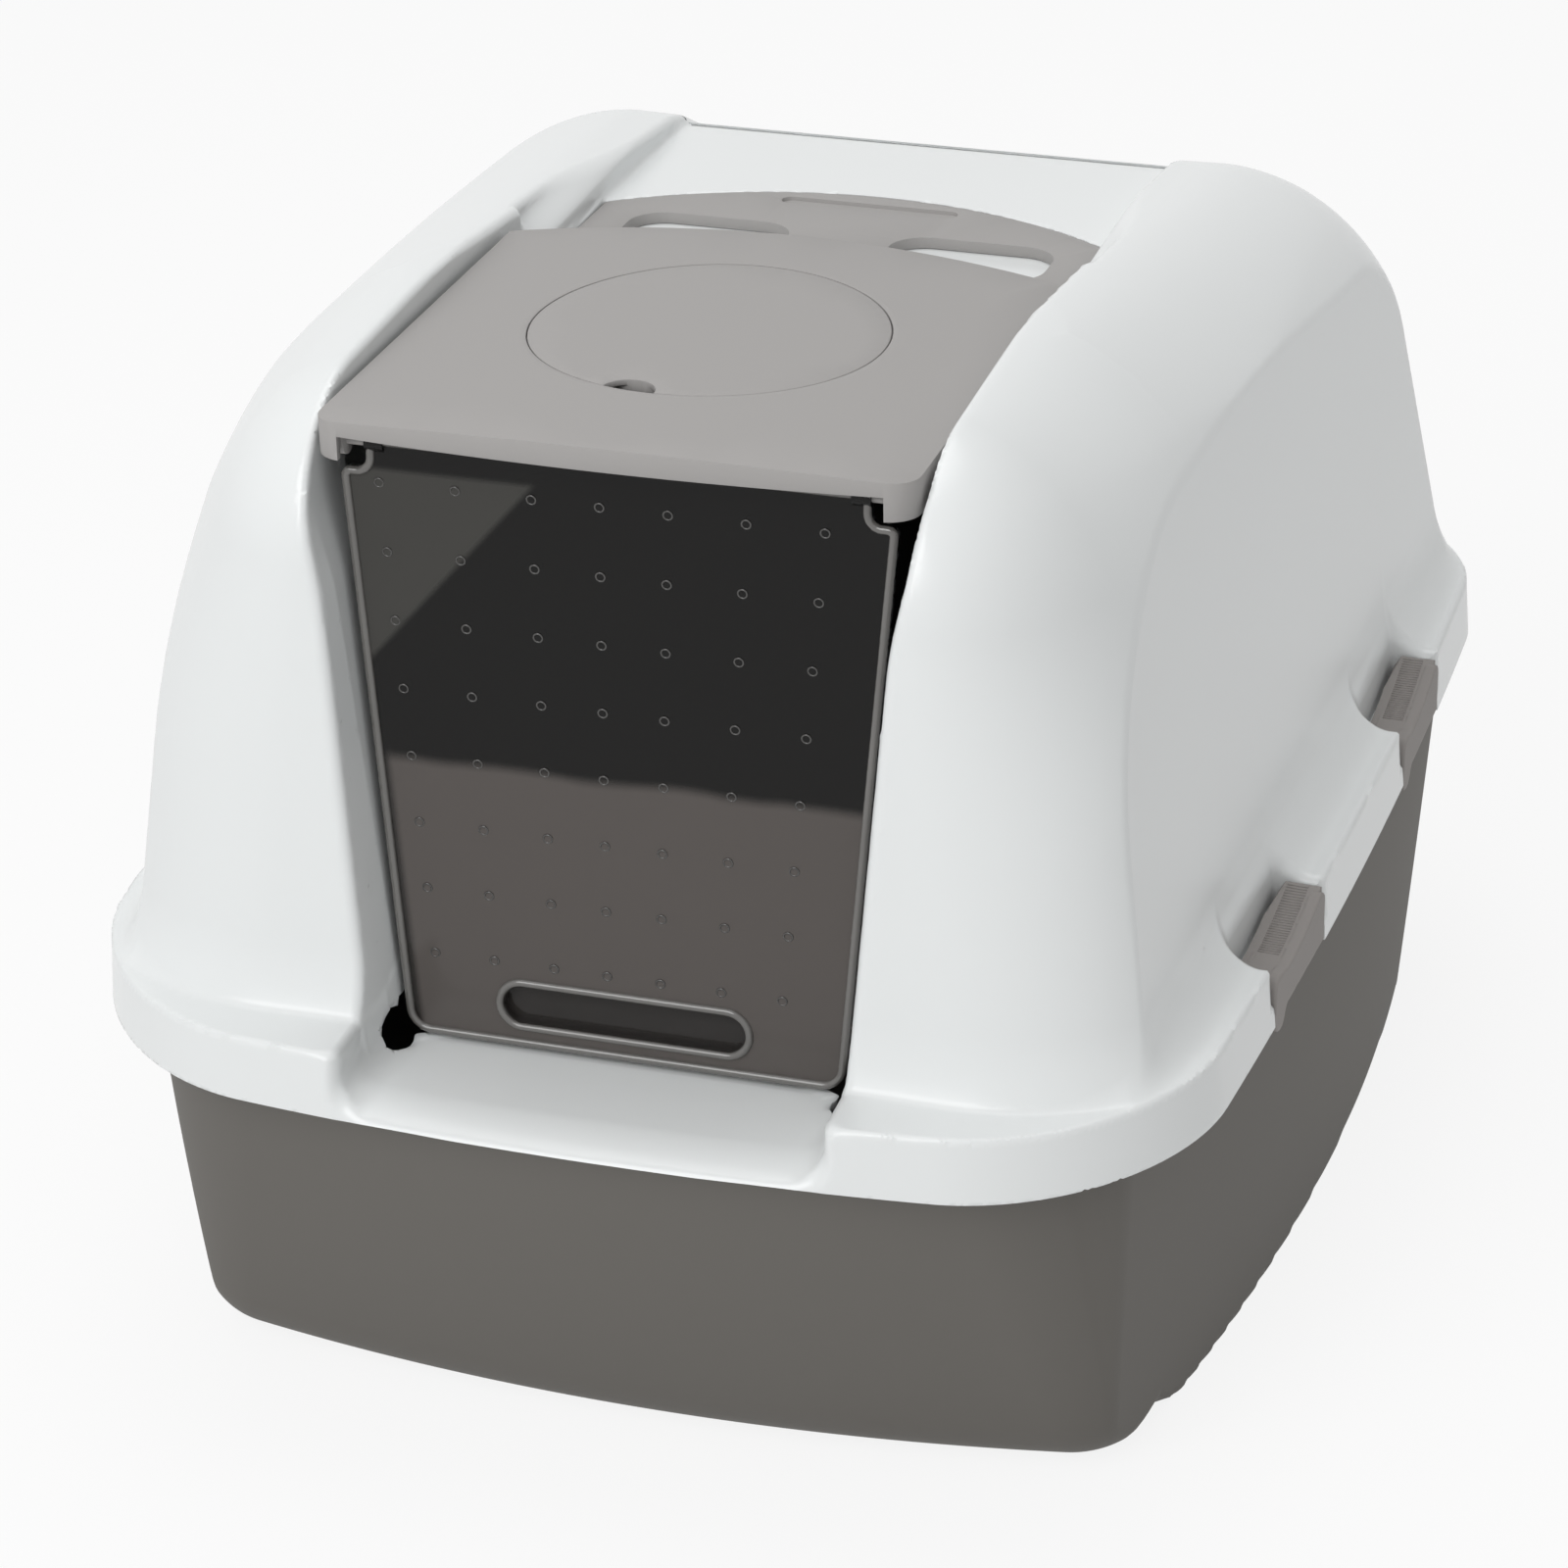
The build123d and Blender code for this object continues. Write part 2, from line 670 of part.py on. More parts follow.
def vent_slots():
    """Return the slots through the filter cup's floor."""
    count = int(vent_slot_reach // vent_slot_pitch)
    tool = None
    for step in range(-count, count + 1):
        x = step * vent_slot_pitch
        half = math.sqrt(vent_slot_reach ** 2 - x ** 2)
        outline = Rot(0, 0, 90) * SlotOverall(2 * half + vent_slot_width, vent_slot_width)
        slot = extrude(Plane((x, filter_y, cup_bottom_z - filter_cup_wall)) * outline, 3 * filter_cup_wall)
        tool = slot if tool is None else tool + slot
    return tool


def finger_place():
    """Return the place on the cover's front edge where a finger lifts it."""
    return finger_notch_x, filter_y - math.sqrt(filter_cover_radius ** 2 - finger_notch_x ** 2)


def finger_well():
    """Return the opening in the cup's seat under the finger notch."""
    x, y = finger_place()
    well = upright(finger_notch_radius - filter_seat_width, cup_floor_z, lid_front_top_z, x, y)
    return well & upright(collar_radius, cup_floor_z, lid_front_top_z, 0, filter_y)


def ear(side):
    """Return one ear under the lid's front corner with the flap's pivot pin."""
    ear_x = lid_lip_half_width + ear_thickness / 2
    low_z = flap_pivot_z - ear_depth_y / 2
    post = Pos(side * ear_x, flap_pivot_y, (flap_pivot_z + lid_front_top_z) / 2) * Box(
        ear_thickness, ear_depth_y, lid_front_top_z - flap_pivot_z)
    place = Location((side * ear_x, flap_pivot_y, flap_pivot_z), (0, 90, 0))
    body = (post + place * Cylinder(flap_pivot_z - low_z, ear_thickness)) & lid_roof(lid_wall / 2)
    pin_length = lid_lip_half_width - (flap_half_width_top - flap_notch_width) + flap_eye_width - 2 * pin_root
    pin_x = lid_lip_half_width - pin_length / 2 + pin_root
    return body + Location((side * pin_x, flap_pivot_y, flap_pivot_z), (0, 90, 0)) * Cylinder(
        flap_pin_radius, pin_length + 2 * pin_root)


def lug(side):
    """Return one hinge lug under the lid's rear corner with its pin."""
    place = Location((side * lid_lug_x, lid_hinge_y, lid_hinge_z), (0, 90, 0))
    post_depth = lid_lug_radius + lug_post_step
    post_y = lid_hinge_y + post_depth / 2 - lid_lug_radius
    post = Pos(side * lid_lug_x, post_y, (lid_hinge_z + lid_rear_top_z) / 2) * Box(
        lid_lug_width, post_depth, lid_rear_top_z - lid_hinge_z)
    body = (post + place * Cylinder(lid_lug_radius, lid_lug_width)) & lid_roof(lid_wall / 2)
    pin_x = lid_lug_x + lid_lug_width / 2 + lid_pin_length / 2 - pin_root
    return body + Location((side * pin_x, lid_hinge_y, lid_hinge_z), (0, 90, 0)) * Cylinder(
        lid_pin_radius, lid_pin_length + 2 * pin_root)


def make_filter_cover():
    """Return the round cover with its finger notch and the ring that holds the pad."""
    tall = upright(filter_cover_radius, cup_floor_z, lid_front_top_z + 5, 0, filter_y)
    cover = (tall & lid_roof(0)) - lid_roof(filter_cover_thickness)
    ring_radius = seat_radius - filter_ring_inset
    ring_bottom = cup_floor_z + seat_gap + filter_pad_thickness + seat_gap
    ring = upright(ring_radius, ring_bottom, filter_top_z, 0, filter_y) & lid_roof(filter_cover_thickness / 2)
    ring -= upright(ring_radius - filter_ring_width, ring_bottom - 1, filter_top_z, 0, filter_y)
    x, y = finger_place()
    return cover + ring - upright(finger_notch_radius, cup_floor_z, lid_front_top_z + 5, x, y)


def make_filter_pad():
    """Return the round carbon pad that lies on the cup's floor."""
    low = cup_floor_z + seat_gap
    return upright(seat_radius - 1, low, low + filter_pad_thickness, 0, filter_y)


flap_plane = Plane(
    origin=(0, flap_pivot_y, flap_pivot_z),
    x_dir=(1, 0, 0),
    z_dir=(0, -math.cos(math.radians(flap_lean_angle)), math.sin(math.radians(flap_lean_angle))),
)


def flap_outline(inset):
    """Return the flap's outline in its own plane, drawn in by a bead's width."""
    top = flap_top_rise - inset
    notch_z = flap_top_rise - flap_notch_height - inset
    slope = (flap_half_width_top - flap_half_width_bottom) / (flap_drop + flap_top_rise)
    notch_x = flap_half_width_top - flap_notch_width - inset
    notch_half = flap_half_width_top - slope * flap_notch_height - inset
    bottom = inset - flap_drop
    foot_half = flap_half_width_bottom - inset
    right = [(foot_half, bottom), (notch_half, notch_z), (notch_x, notch_z), (notch_x, top)]
    outline = make_face(Polyline(*mirrored(right), close=True))
    low = outline.vertices().sort_by(Axis.Y)[:2]
    outline = fillet(low, flap_corner_radius - inset)
    middle = [v for v in outline.vertices() if abs(v.Y - notch_z) < 0.01]
    return fillet(middle, flap_notch_radius)


def grip_outline(grow):
    """Return the pill shaped outline of the flap's grip, grown by a wall."""
    y = -flap_drop + grip_rise
    return Pos(0, y) * SlotOverall(grip_length + 2 * grow, grip_height + 2 * grow)


def make_flap():
    """Return the smoked flap with its bead, grip recess and pivot eyes."""
    half = flap_thickness / 2
    plate = extrude(Pos(0, 0, -half) * flap_outline(0), flap_thickness)
    bead = extrude(Pos(0, 0, half) * (flap_outline(0) - flap_outline(flap_bead_width)), flap_bead_height)
    grip = extrude(Pos(0, 0, half - grip_depth) * grip_outline(0), grip_depth)
    dish_z = half + flap_thickness - grip_depth
    dish = extrude(Pos(0, 0, dish_z) * grip_outline(-flap_thickness), 2 * grip_depth)
    lip = extrude(Pos(0, 0, half) * (grip_outline(0) - grip_outline(-flap_thickness)), flap_bead_height)
    body = plate + bead + grip + lip - dish
    eye_x = flap_half_width_top - flap_notch_width - flap_eye_width / 2
    for side in (-1, 1):
        place = Location((side * eye_x, 0, 0), (0, 90, 0))
        body += place * Cylinder(flap_eye_radius, flap_eye_width)
        body -= place * Cylinder(flap_pin_radius + pivot_clearance, 2 * flap_eye_width)
    return flap_plane * body


def make_handle():
    """Return the crescent carry handle with its two slots and hinge pins."""
    low = core_rear_z - 2 * tool_reach
    tall = 4 * tool_reach
    prism = extrude(Pos(0, 0, low) * handle_plan(0), tall)
    plate = prism & floor_slab(-2 * tool_reach, core_rear_y, 0, handle_thickness)
    front_edges = plate.edges().filter_by(Axis.X).sort_by(Axis.Y)[:2]
    plate = fillet(front_edges, handle_thickness * handle_nose_share)
    slot = extrude(Pos(slot_x, slot_y, low) * RectangleRounded(slot_length, slot_height, slot_radius), tall)
    thumb = extrude(Pos(0, thumb_y, low) * SlotOverall(thumb_length, thumb_height), tall)
    thumb &= floor_slab(-2 * tool_reach, core_rear_y, 0, thumb_depth)
    body = plate - slot - mirror(slot, about=Plane.YZ) - thumb
    pin_x = handle_half_width + handle_pin_length / 2 - pin_root
    for side in (-1, 1):
        body += Location((side * pin_x, handle_hinge_y, handle_axis_z()), (0, 90, 0)) * Cylinder(
            handle_pin_radius, handle_pin_length + 2 * pin_root)
    return body


def latch_pin_tool(length, radius):
    """Return the pivot pins of a latch in its own frame, or their bores."""
    x = latch_pin_inset - latch_width
    z = latch_floor_z + latch_pin_radius + latch_pin_lift
    full = latch_length + 2 * length
    return Location((x, 0, z), (90, 0, 0)) * Cylinder(radius, full)


def latch_swing_room():
    """Return the pocket's clear space turned back by the opening angle about the latch's pin."""
    x = latch_pin_inset - latch_width
    z = latch_floor_z + latch_pin_radius + latch_pin_lift
    back = latch_pin_inset + latch_back_gap - seat_gap
    below = z - latch_floor_z + latch_gap - seat_gap
    size = 4 * latch_length
    turn = Location((x, 0, z)) * Rot(0, latch_open_angle, 0)
    return turn * Pos(size / 2 - back, 0, size / 2 - below) * Box(size, size, size)


def make_latch(y):
    """Return a right hand latch at its place along the rim, thumb rest outwards and nose forward."""
    rear = latch_length / 2
    nose = -latch_length / 2
    saddle = (rear * latch_saddle_share, latch_trough_z + latch_saddle_rise)
    trough = (nose * latch_trough_share, latch_trough_z)
    crown = (nose * latch_crown_share, latch_nose_z)
    tip = (nose, latch_nose_z - latch_tip_drop)
    top = [Line((rear, latch_floor_z), (rear, latch_rear_z)),
           ThreePointArc((rear, latch_rear_z), saddle, trough),
           ThreePointArc(trough, crown, tip),
           Line(tip, (nose, latch_floor_z)),
           Line((nose, latch_floor_z), (rear, latch_floor_z))]
    profile = make_face([edge.edge() for edge in top])
    body = extrude(Pos(-latch_width, 0, 0) * (Plane.YZ * profile), latch_width) & latch_swing_room()
    plate_low = skirt_bottom_z + 1
    toe_y = nose + latch_toe_radius
    corners = [(rear, latch_rear_z), (rear, plate_low), (toe_y, plate_low), (nose, plate_low), tip, trough]
    outline = make_face(Polyline(*corners, close=True))
    toe = Pos(toe_y, latch_toe_z + latch_toe_radius) * Circle(latch_toe_radius)
    plate = extrude(Pos(-latch_plate, 0, 0) * (Plane.YZ * (outline + toe)), latch_plate + latch_proud)
    claw_z = pan_top_z - pan_flange_thickness - seat_gap - latch_claw_depth
    claw_reach = hood_wall + side_gap - seat_gap
    claw_place = Pos(-claw_reach / 2, 0, claw_z + latch_claw_depth / 2)
    claw = claw_place * Box(claw_reach, latch_length / 2, latch_claw_depth)
    latch = body + plate + claw + latch_pin_tool(latch_pin_length, latch_pin_radius)
    return latch_place(y) * latch


nodes = {
    "base_pan": make_pan(),
    "hood_shell": make_hood(),
    "top_lid": make_lid(),
    "entry_flap": make_flap(),
    "filter_cover": make_filter_cover(),
    "filter_carbon_pad": make_filter_pad(),
    "carry_handle": make_handle(),
}
for place, y in (("front", front_latch_y), ("rear", rear_latch_y)):
    right_latch = make_latch(y)
    nodes[place + "_right_latch"] = right_latch
    nodes[place + "_left_latch"] = mirror(right_latch, about=Plane.YZ)

for name, solid in nodes.items():
    export_step(solid, "parts/" + name + ".step")
    print(name, len(solid.solids()), round(solid.volume / 1000, 1))
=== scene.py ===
"""The look of a covered litter box: soft moulded shells, a smoked flap and matt grey fittings."""

from __future__ import annotations

import logging
import math
from dataclasses import dataclass
from enum import Enum
from functools import reduce
from typing import Callable, Iterable, Iterator, Sequence

import bmesh
import bpy
import numpy as np
from mathutils import Matrix, Vector

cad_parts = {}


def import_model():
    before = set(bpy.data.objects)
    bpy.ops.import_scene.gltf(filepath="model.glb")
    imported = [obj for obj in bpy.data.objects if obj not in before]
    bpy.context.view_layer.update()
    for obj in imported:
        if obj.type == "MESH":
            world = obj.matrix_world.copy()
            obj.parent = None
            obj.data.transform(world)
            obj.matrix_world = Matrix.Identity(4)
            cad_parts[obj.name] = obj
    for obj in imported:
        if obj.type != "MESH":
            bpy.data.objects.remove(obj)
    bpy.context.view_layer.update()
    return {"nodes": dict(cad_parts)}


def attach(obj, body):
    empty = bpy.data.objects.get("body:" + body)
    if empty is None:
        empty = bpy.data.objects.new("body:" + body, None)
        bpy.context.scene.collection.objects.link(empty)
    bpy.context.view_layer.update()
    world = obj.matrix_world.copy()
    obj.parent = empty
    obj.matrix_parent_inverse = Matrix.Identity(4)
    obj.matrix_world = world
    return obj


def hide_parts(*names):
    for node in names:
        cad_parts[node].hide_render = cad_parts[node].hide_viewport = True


LOG = logging.getLogger("litter_box")
MM = 0.001
TINY = 1e-9
LATCH_YS = {"front": -91.0, "rear": 111.0}

Array = np.ndarray
Form = Callable[[Array, Array, Array], Array]
Pair = tuple[float, float]
Point = tuple[float, float, float]
Screen = tuple[int, int, int]
Colour = tuple[float, float, float, float]


def meet(a: Array, b: Array, radius: Array | float) -> Array:
    """Combine two forms into what both cover, with a rounded outer edge.

    Args:
        a: Signed distance to the first form, negative inside.
        b: Signed distance to the second form.
        radius: Radius of the rounded edge, zero for a sharp one.

    Returns:
        Signed distance to the shared part.
    """
    over_a = np.maximum(a + radius, 0.0)
    over_b = np.maximum(b + radius, 0.0)
    return np.minimum(np.maximum(a, b), -radius) + np.sqrt(over_a * over_a + over_b * over_b)


def join(a: Array, b: Array, radius: Array | float) -> Array:
    """Combine two forms into one, with a concave fillet where they meet."""
    return -meet(-a, -b, radius)


def carve(a: Array, b: Array, radius: Array | float) -> Array:
    """Take the second form out of the first, with a rounded rim."""
    return meet(a, -b, radius)


def all_of(*forms: Array) -> Array:
    """Signed distance to what all the forms cover, with sharp edges."""
    return reduce(np.maximum, forms)


def any_of(*forms: Array) -> Array:
    """Signed distance to what any of the forms covers, with sharp edges."""
    return reduce(np.minimum, forms)


def band(value: Array, low: float, high: float) -> Array:
    """Signed distance to the space between two parallel planes."""
    return np.abs(value - (low + high) / 2) - (high - low) / 2


def disc(x: Array, y: Array, cx: float | Array, cy: float | Array, radius: float | Array) -> Array:
    """Signed distance to an upright cylinder."""
    return np.hypot(x - cx, y - cy) - radius


def line(u: Array, v: Array, start: Pair, end: Pair) -> Array:
    """Distance from a directed line, positive to its left and negative to its right."""
    du, dv = end[0] - start[0], end[1] - start[1]
    return ((v - start[1]) * du - (u - start[0]) * dv) / math.hypot(du, dv)


def bow_radius(half_chord: float | Array, bow: float | Array) -> float | Array:
    """Radius of an arc from its half chord and its rise."""
    return (half_chord**2 + bow**2) / (2 * bow)


def unit(vectors: Array) -> Array:
    """Scale vectors to a length of one."""
    return vectors / np.maximum(np.linalg.norm(vectors, axis=1), TINY)[:, None]


def limited(moves: Array, most: float) -> Array:
    """Shorten the moves that are longer than a limit."""
    size = np.linalg.norm(moves, axis=1)
    return moves * np.minimum(1.0, most / np.maximum(size, TINY))[:, None]


def smooth_step(value: Array, low: float, high: float) -> Array:
    """Ease from 0 at a low value to 1 at a high one."""
    t = np.clip((value - low) / (high - low), 0.0, 1.0)
    return t * t * (3 - 2 * t)


def place_in_scene(name: str, data: bpy.types.ID) -> bpy.types.Object:
    """Make an object of a mesh, lamp or camera and add it to the scene."""
    made = bpy.data.objects.new(name, data)
    bpy.context.scene.collection.objects.link(made)
    return made


@dataclass
class Skin:
    """Turns a form into a closed mesh with one vertex in each cell that its surface crosses.

    Args:
        form: Signed distance in millimetres.
        space: Lowest and highest corner of the space searched.
        cell: Edge of a cell in millimetres.
        triangles: Most triangles in a piece, 0 for a single piece.
        block: Cells along the edge of a block that is sampled as a whole or left out.
        reach: How far off the surface may lie for a block to be sampled, in blocks.
        batch: Blocks sampled at a time.
        step: Half the span over which a slope is taken, in millimetres.
        sharp: Cosine of the angle between slopes from which an edge counts as sharp.
        pull: Weight that keeps a vertex on an edge near the middle of its cell's crossings.
        edge_move: Longest move onto a sharp edge, in cells.
        face_move: Longest move onto the surface, in cells.
        least_slope: Least squared slope that a move is divided by.
    """

    form: Form
    space: tuple[Point, Point]
    cell: float
    triangles: int = 0
    block: int = 4
    reach: float = 1.15
    batch: int = 4000
    step: float = 0.05
    sharp: float = 0.82
    pull: float = 0.03
    edge_move: float = 0.8
    face_move: float = 0.45
    least_slope: float = 0.04

    @property
    def low(self) -> Array:
        """Lowest corner of the grid."""
        return np.array(self.space[0])

    def samples(self) -> Array:
        """Sample the form on the grid, closely only in blocks that the surface may cross."""
        block = self.block
        blocks = [math.ceil((high - low) / (self.cell * block)) for low, high in zip(*self.space)]
        values = np.empty([n * block + 1 for n in blocks], np.float32)
        numbers = np.stack(np.meshgrid(*[np.arange(n) for n in blocks], indexing="ij"), -1).reshape(-1, 3)
        middle = self.low + self.cell * block * (numbers + 0.5)
        rough = self.form(*middle.T)
        ticks = np.arange(block + 1)
        local = np.stack(np.meshgrid(ticks, ticks, ticks, indexing="ij"), -1).reshape(-1, 3)
        far = np.where(rough < 0, -1.0, 1.0)
        values[:] = np.pad(np.kron(far.reshape(blocks), np.ones([block] * 3)), [(0, 1)] * 3, mode="edge")
        near = numbers[np.abs(rough) < self.reach * self.cell * block]
        for start in range(0, len(near), self.batch):
            spots = (near[start : start + self.batch, None, :] * block + local).reshape(-1, 3)
            values[tuple(spots.T)] = self.form(*(self.low + self.cell * spots).T)
        return values

    def crossings(self, cells: Array, values: Array) -> Iterator[tuple[Array, Array]]:
        """Find where the surface crosses the edges of cells, one of the twelve edges at a time.

        Args:
            cells: Grid numbers of the cells.
            values: The sampled form.

        Yields:
            Rows of the cells whose edge is crossed, and the places in millimetres.
        """
        for first in np.ndindex(2, 2, 2):
            for axis in range(3):
                if first[axis]:
                    continue
                second = np.array(first)
                second[axis] = 1
                va = values[tuple((cells + first).T)].astype(np.float64)
                vb = values[tuple((cells + second).T)].astype(np.float64)
                rows = np.flatnonzero((va < 0) != (vb < 0))
                share = (va[rows] / (va[rows] - vb[rows]))[:, None]
                yield rows, self.low + self.cell * (cells[rows] + first + share * (second - first))

    def net(self) -> tuple[Array, Array, Array]:
        """Build the vertices and the four sided faces.

        Returns:
            Vertex places in millimetres, the faces' vertex numbers and each vertex's layer along Y.
        """
        values = self.samples()
        inside = values < 0
        shape = tuple(n - 1 for n in values.shape)
        count = np.zeros(shape, np.int8)
        for a, b, c in np.ndindex(2, 2, 2):
            count += inside[a : a + shape[0], b : b + shape[1], c : c + shape[2]]
        cells = np.argwhere((count > 0) & (count < 8))
        total = np.zeros((len(cells), 3))
        hits = np.zeros(len(cells))
        for rows, places in self.crossings(cells, values):
            total[rows] += places
            hits[rows] += 1
        points = self.settle(total / hits[:, None])
        number = np.full(shape, -1, np.int64)
        number[tuple(cells.T)] = np.arange(len(cells))
        quads = self.faces(inside, number)
        return self.sharpen(points, quads, cells, values), quads, cells[:, 1]

    def sharpen(self, points: Array, quads: Array, cells: Array, values: Array) -> Array:
        """Move the vertices of cells that hold a sharp edge onto that edge.

        Args:
            points: Vertex places on the surface.
            quads: Faces.
            cells: Each vertex's cell.
            values: The sampled form.

        Returns:
            The vertex places with crisp edges.
        """
        facing = unit(self.slope(points))
        turn = np.ones(len(points))
        for a in range(4):
            one, two = quads[:, a], quads[:, (a + 1) % 4]
            agree = (facing[one] * facing[two]).sum(axis=1)
            np.minimum.at(turn, one, agree)
            np.minimum.at(turn, two, agree)
        sharp = np.flatnonzero(turn < self.sharp)
        square = np.zeros((len(sharp), 3, 3))
        right = np.zeros((len(sharp), 3))
        middle = np.zeros((len(sharp), 3))
        hits = np.zeros(len(sharp))
        for rows, places in self.crossings(cells[sharp], values):
            normal = unit(self.slope(places))
            places = places - self.form(*places.T)[:, None] * normal
            square[rows] += normal[:, :, None] * normal[:, None, :]
            right[rows] += normal * (normal * places).sum(axis=1)[:, None]
            middle[rows] += places
            hits[rows] += 1
        middle /= hits[:, None]
        square += self.pull * np.eye(3)
        found = np.linalg.solve(square, (right + self.pull * middle)[:, :, None])[:, :, 0]
        points = points.copy()
        points[sharp] += limited(found - points[sharp], self.edge_move * self.cell)
        return points

    @staticmethod
    def faces(inside: Array, number: Array) -> Array:
        """Join the four cells round each grid edge that the surface crosses."""
        found = []
        for axis in range(3):
            other = [a for a in range(3) if a != axis]
            low = [slice(1, -1)] * 3
            high = [slice(1, -1)] * 3
            low[axis] = slice(0, -1)
            high[axis] = slice(1, None)
            edge_low, edge_high = inside[tuple(low)], inside[tuple(high)]
            starts = np.argwhere(edge_low != edge_high)
            outwards = edge_low[tuple(starts.T)]
            base = starts + 1
            base[:, axis] -= 1
            ring = []
            for da, db in ((-1, -1), (0, -1), (0, 0), (-1, 0)):
                cell = base.copy()
                cell[:, other[0]] += da
                cell[:, other[1]] += db
                ring.append(number[tuple(cell.T)])
            quads = np.stack(ring, axis=1)
            flip = outwards == (axis == 1)
            quads[flip] = quads[flip][:, ::-1]
            found.append(quads)
        return np.concatenate(found)

    def slope(self, points: Array) -> Array:
        """Direction in which the form's distance grows at each point."""
        shifts = self.step * np.eye(3)
        rises = [self.form(*(points + shift).T) - self.form(*(points - shift).T) for shift in shifts]
        return np.stack(rises, axis=1) / (2 * self.step)

    def settle(self, points: Array, rounds: int = 3) -> Array:
        """Move each point onto the surface in a few rounds."""
        slope = self.slope(points)
        steep = np.maximum((slope**2).sum(axis=1), self.least_slope)
        for _ in range(rounds):
            move = -(self.form(*points.T) / steep)[:, None] * slope
            points = points + limited(move, self.face_move * self.cell)
        return points

    def build(self, name: str) -> list[bpy.types.Object]:
        """Make the mesh objects, slabs along Y that meet without a seam.

        Args:
            name: Start of the pieces' names.

        Returns:
            The new objects, smooth shaded, at the origin.
        """
        points, quads, layers = self.net()
        facing = unit(self.slope(points))
        layer = layers[quads].max(axis=1)
        count = max(1, math.ceil(2 * len(quads) / self.triangles)) if self.triangles else 1
        bounds = np.quantile(layer, np.linspace(0, 1, count + 1)).astype(int)
        pieces = []
        for index in range(count):
            inside = (layer >= bounds[index]) & ((layer < bounds[index + 1]) | (index == count - 1))
            used, numbers = np.unique(quads[inside], return_inverse=True)
            title = name if count == 1 else f"{name}_{index + 1}"
            mesh = mesh_from(title, points[used] * MM, numbers.reshape(-1, 4))
            if count > 1:
                middle = (bounds[index] + bounds[index + 1]) / 2
                cap(mesh, (self.low[1] + self.cell * middle) * MM)
            self.set_normals(mesh, facing[used])
            pieces.append(place_in_scene(title, mesh))
            LOG.info("%s: %d faces", title, len(mesh.polygons))
        return pieces

    def set_normals(self, mesh: bpy.types.Mesh, facing: Array) -> None:
        """Shade each face corner by the form's own slope, or flat beside a sharp edge."""
        corner = np.empty(len(mesh.loops), np.int32)
        mesh.loops.foreach_get("vertex_index", corner)
        count = np.empty(len(mesh.polygons), np.int32)
        mesh.polygons.foreach_get("loop_total", count)
        plane = np.empty(3 * len(mesh.polygons), np.float32)
        mesh.polygons.foreach_get("normal", plane)
        plane = np.repeat(plane.reshape(-1, 3), count, axis=0)
        smooth = facing[corner]
        keep = (smooth * plane).sum(axis=1) > self.sharp
        normals = np.where(keep[:, None], smooth, plane)
        mesh.polygons.foreach_set("use_smooth", np.ones(len(mesh.polygons), bool))
        mesh.update()
        mesh.normals_split_custom_set(normals.tolist())


def cap(mesh: bpy.types.Mesh, middle: float) -> None:
    """Close the two cut ends of a slab.

    Args:
        mesh: The slab's mesh.
        middle: A place between its cuts along Y.
    """
    form = bmesh.new()
    form.from_mesh(mesh)
    edges = [edge for edge in form.edges if edge.is_boundary]
    for side in (-1, 1):
        ring = [edge for edge in edges if (edge.verts[0].co.y - middle) * side > 0]
        result = bmesh.ops.triangle_fill(form, use_beauty=True, use_dissolve=False, edges=ring)
        for face in result["geom"]:
            if isinstance(face, bmesh.types.BMFace):
                face.normal_update()
                if face.normal.y * side < 0:
                    face.normal_flip()
    form.to_mesh(mesh)
    form.free()


def mesh_from(name: str, points: Array, quads: Array) -> bpy.types.Mesh:
    """Make a mesh from vertex places in metres and four sided faces."""
    mesh = bpy.data.meshes.new(name)
    mesh.vertices.add(len(points))
    mesh.vertices.foreach_set("co", points.astype(np.float32).ravel())
    mesh.loops.add(quads.size)
    mesh.loops.foreach_set("vertex_index", quads.astype(np.int32).ravel())
    mesh.polygons.add(len(quads))
    mesh.polygons.foreach_set("loop_start", np.arange(0, quads.size, 4, dtype=np.int32))
    mesh.update(calc_edges=True)
    mesh.validate()
    return mesh


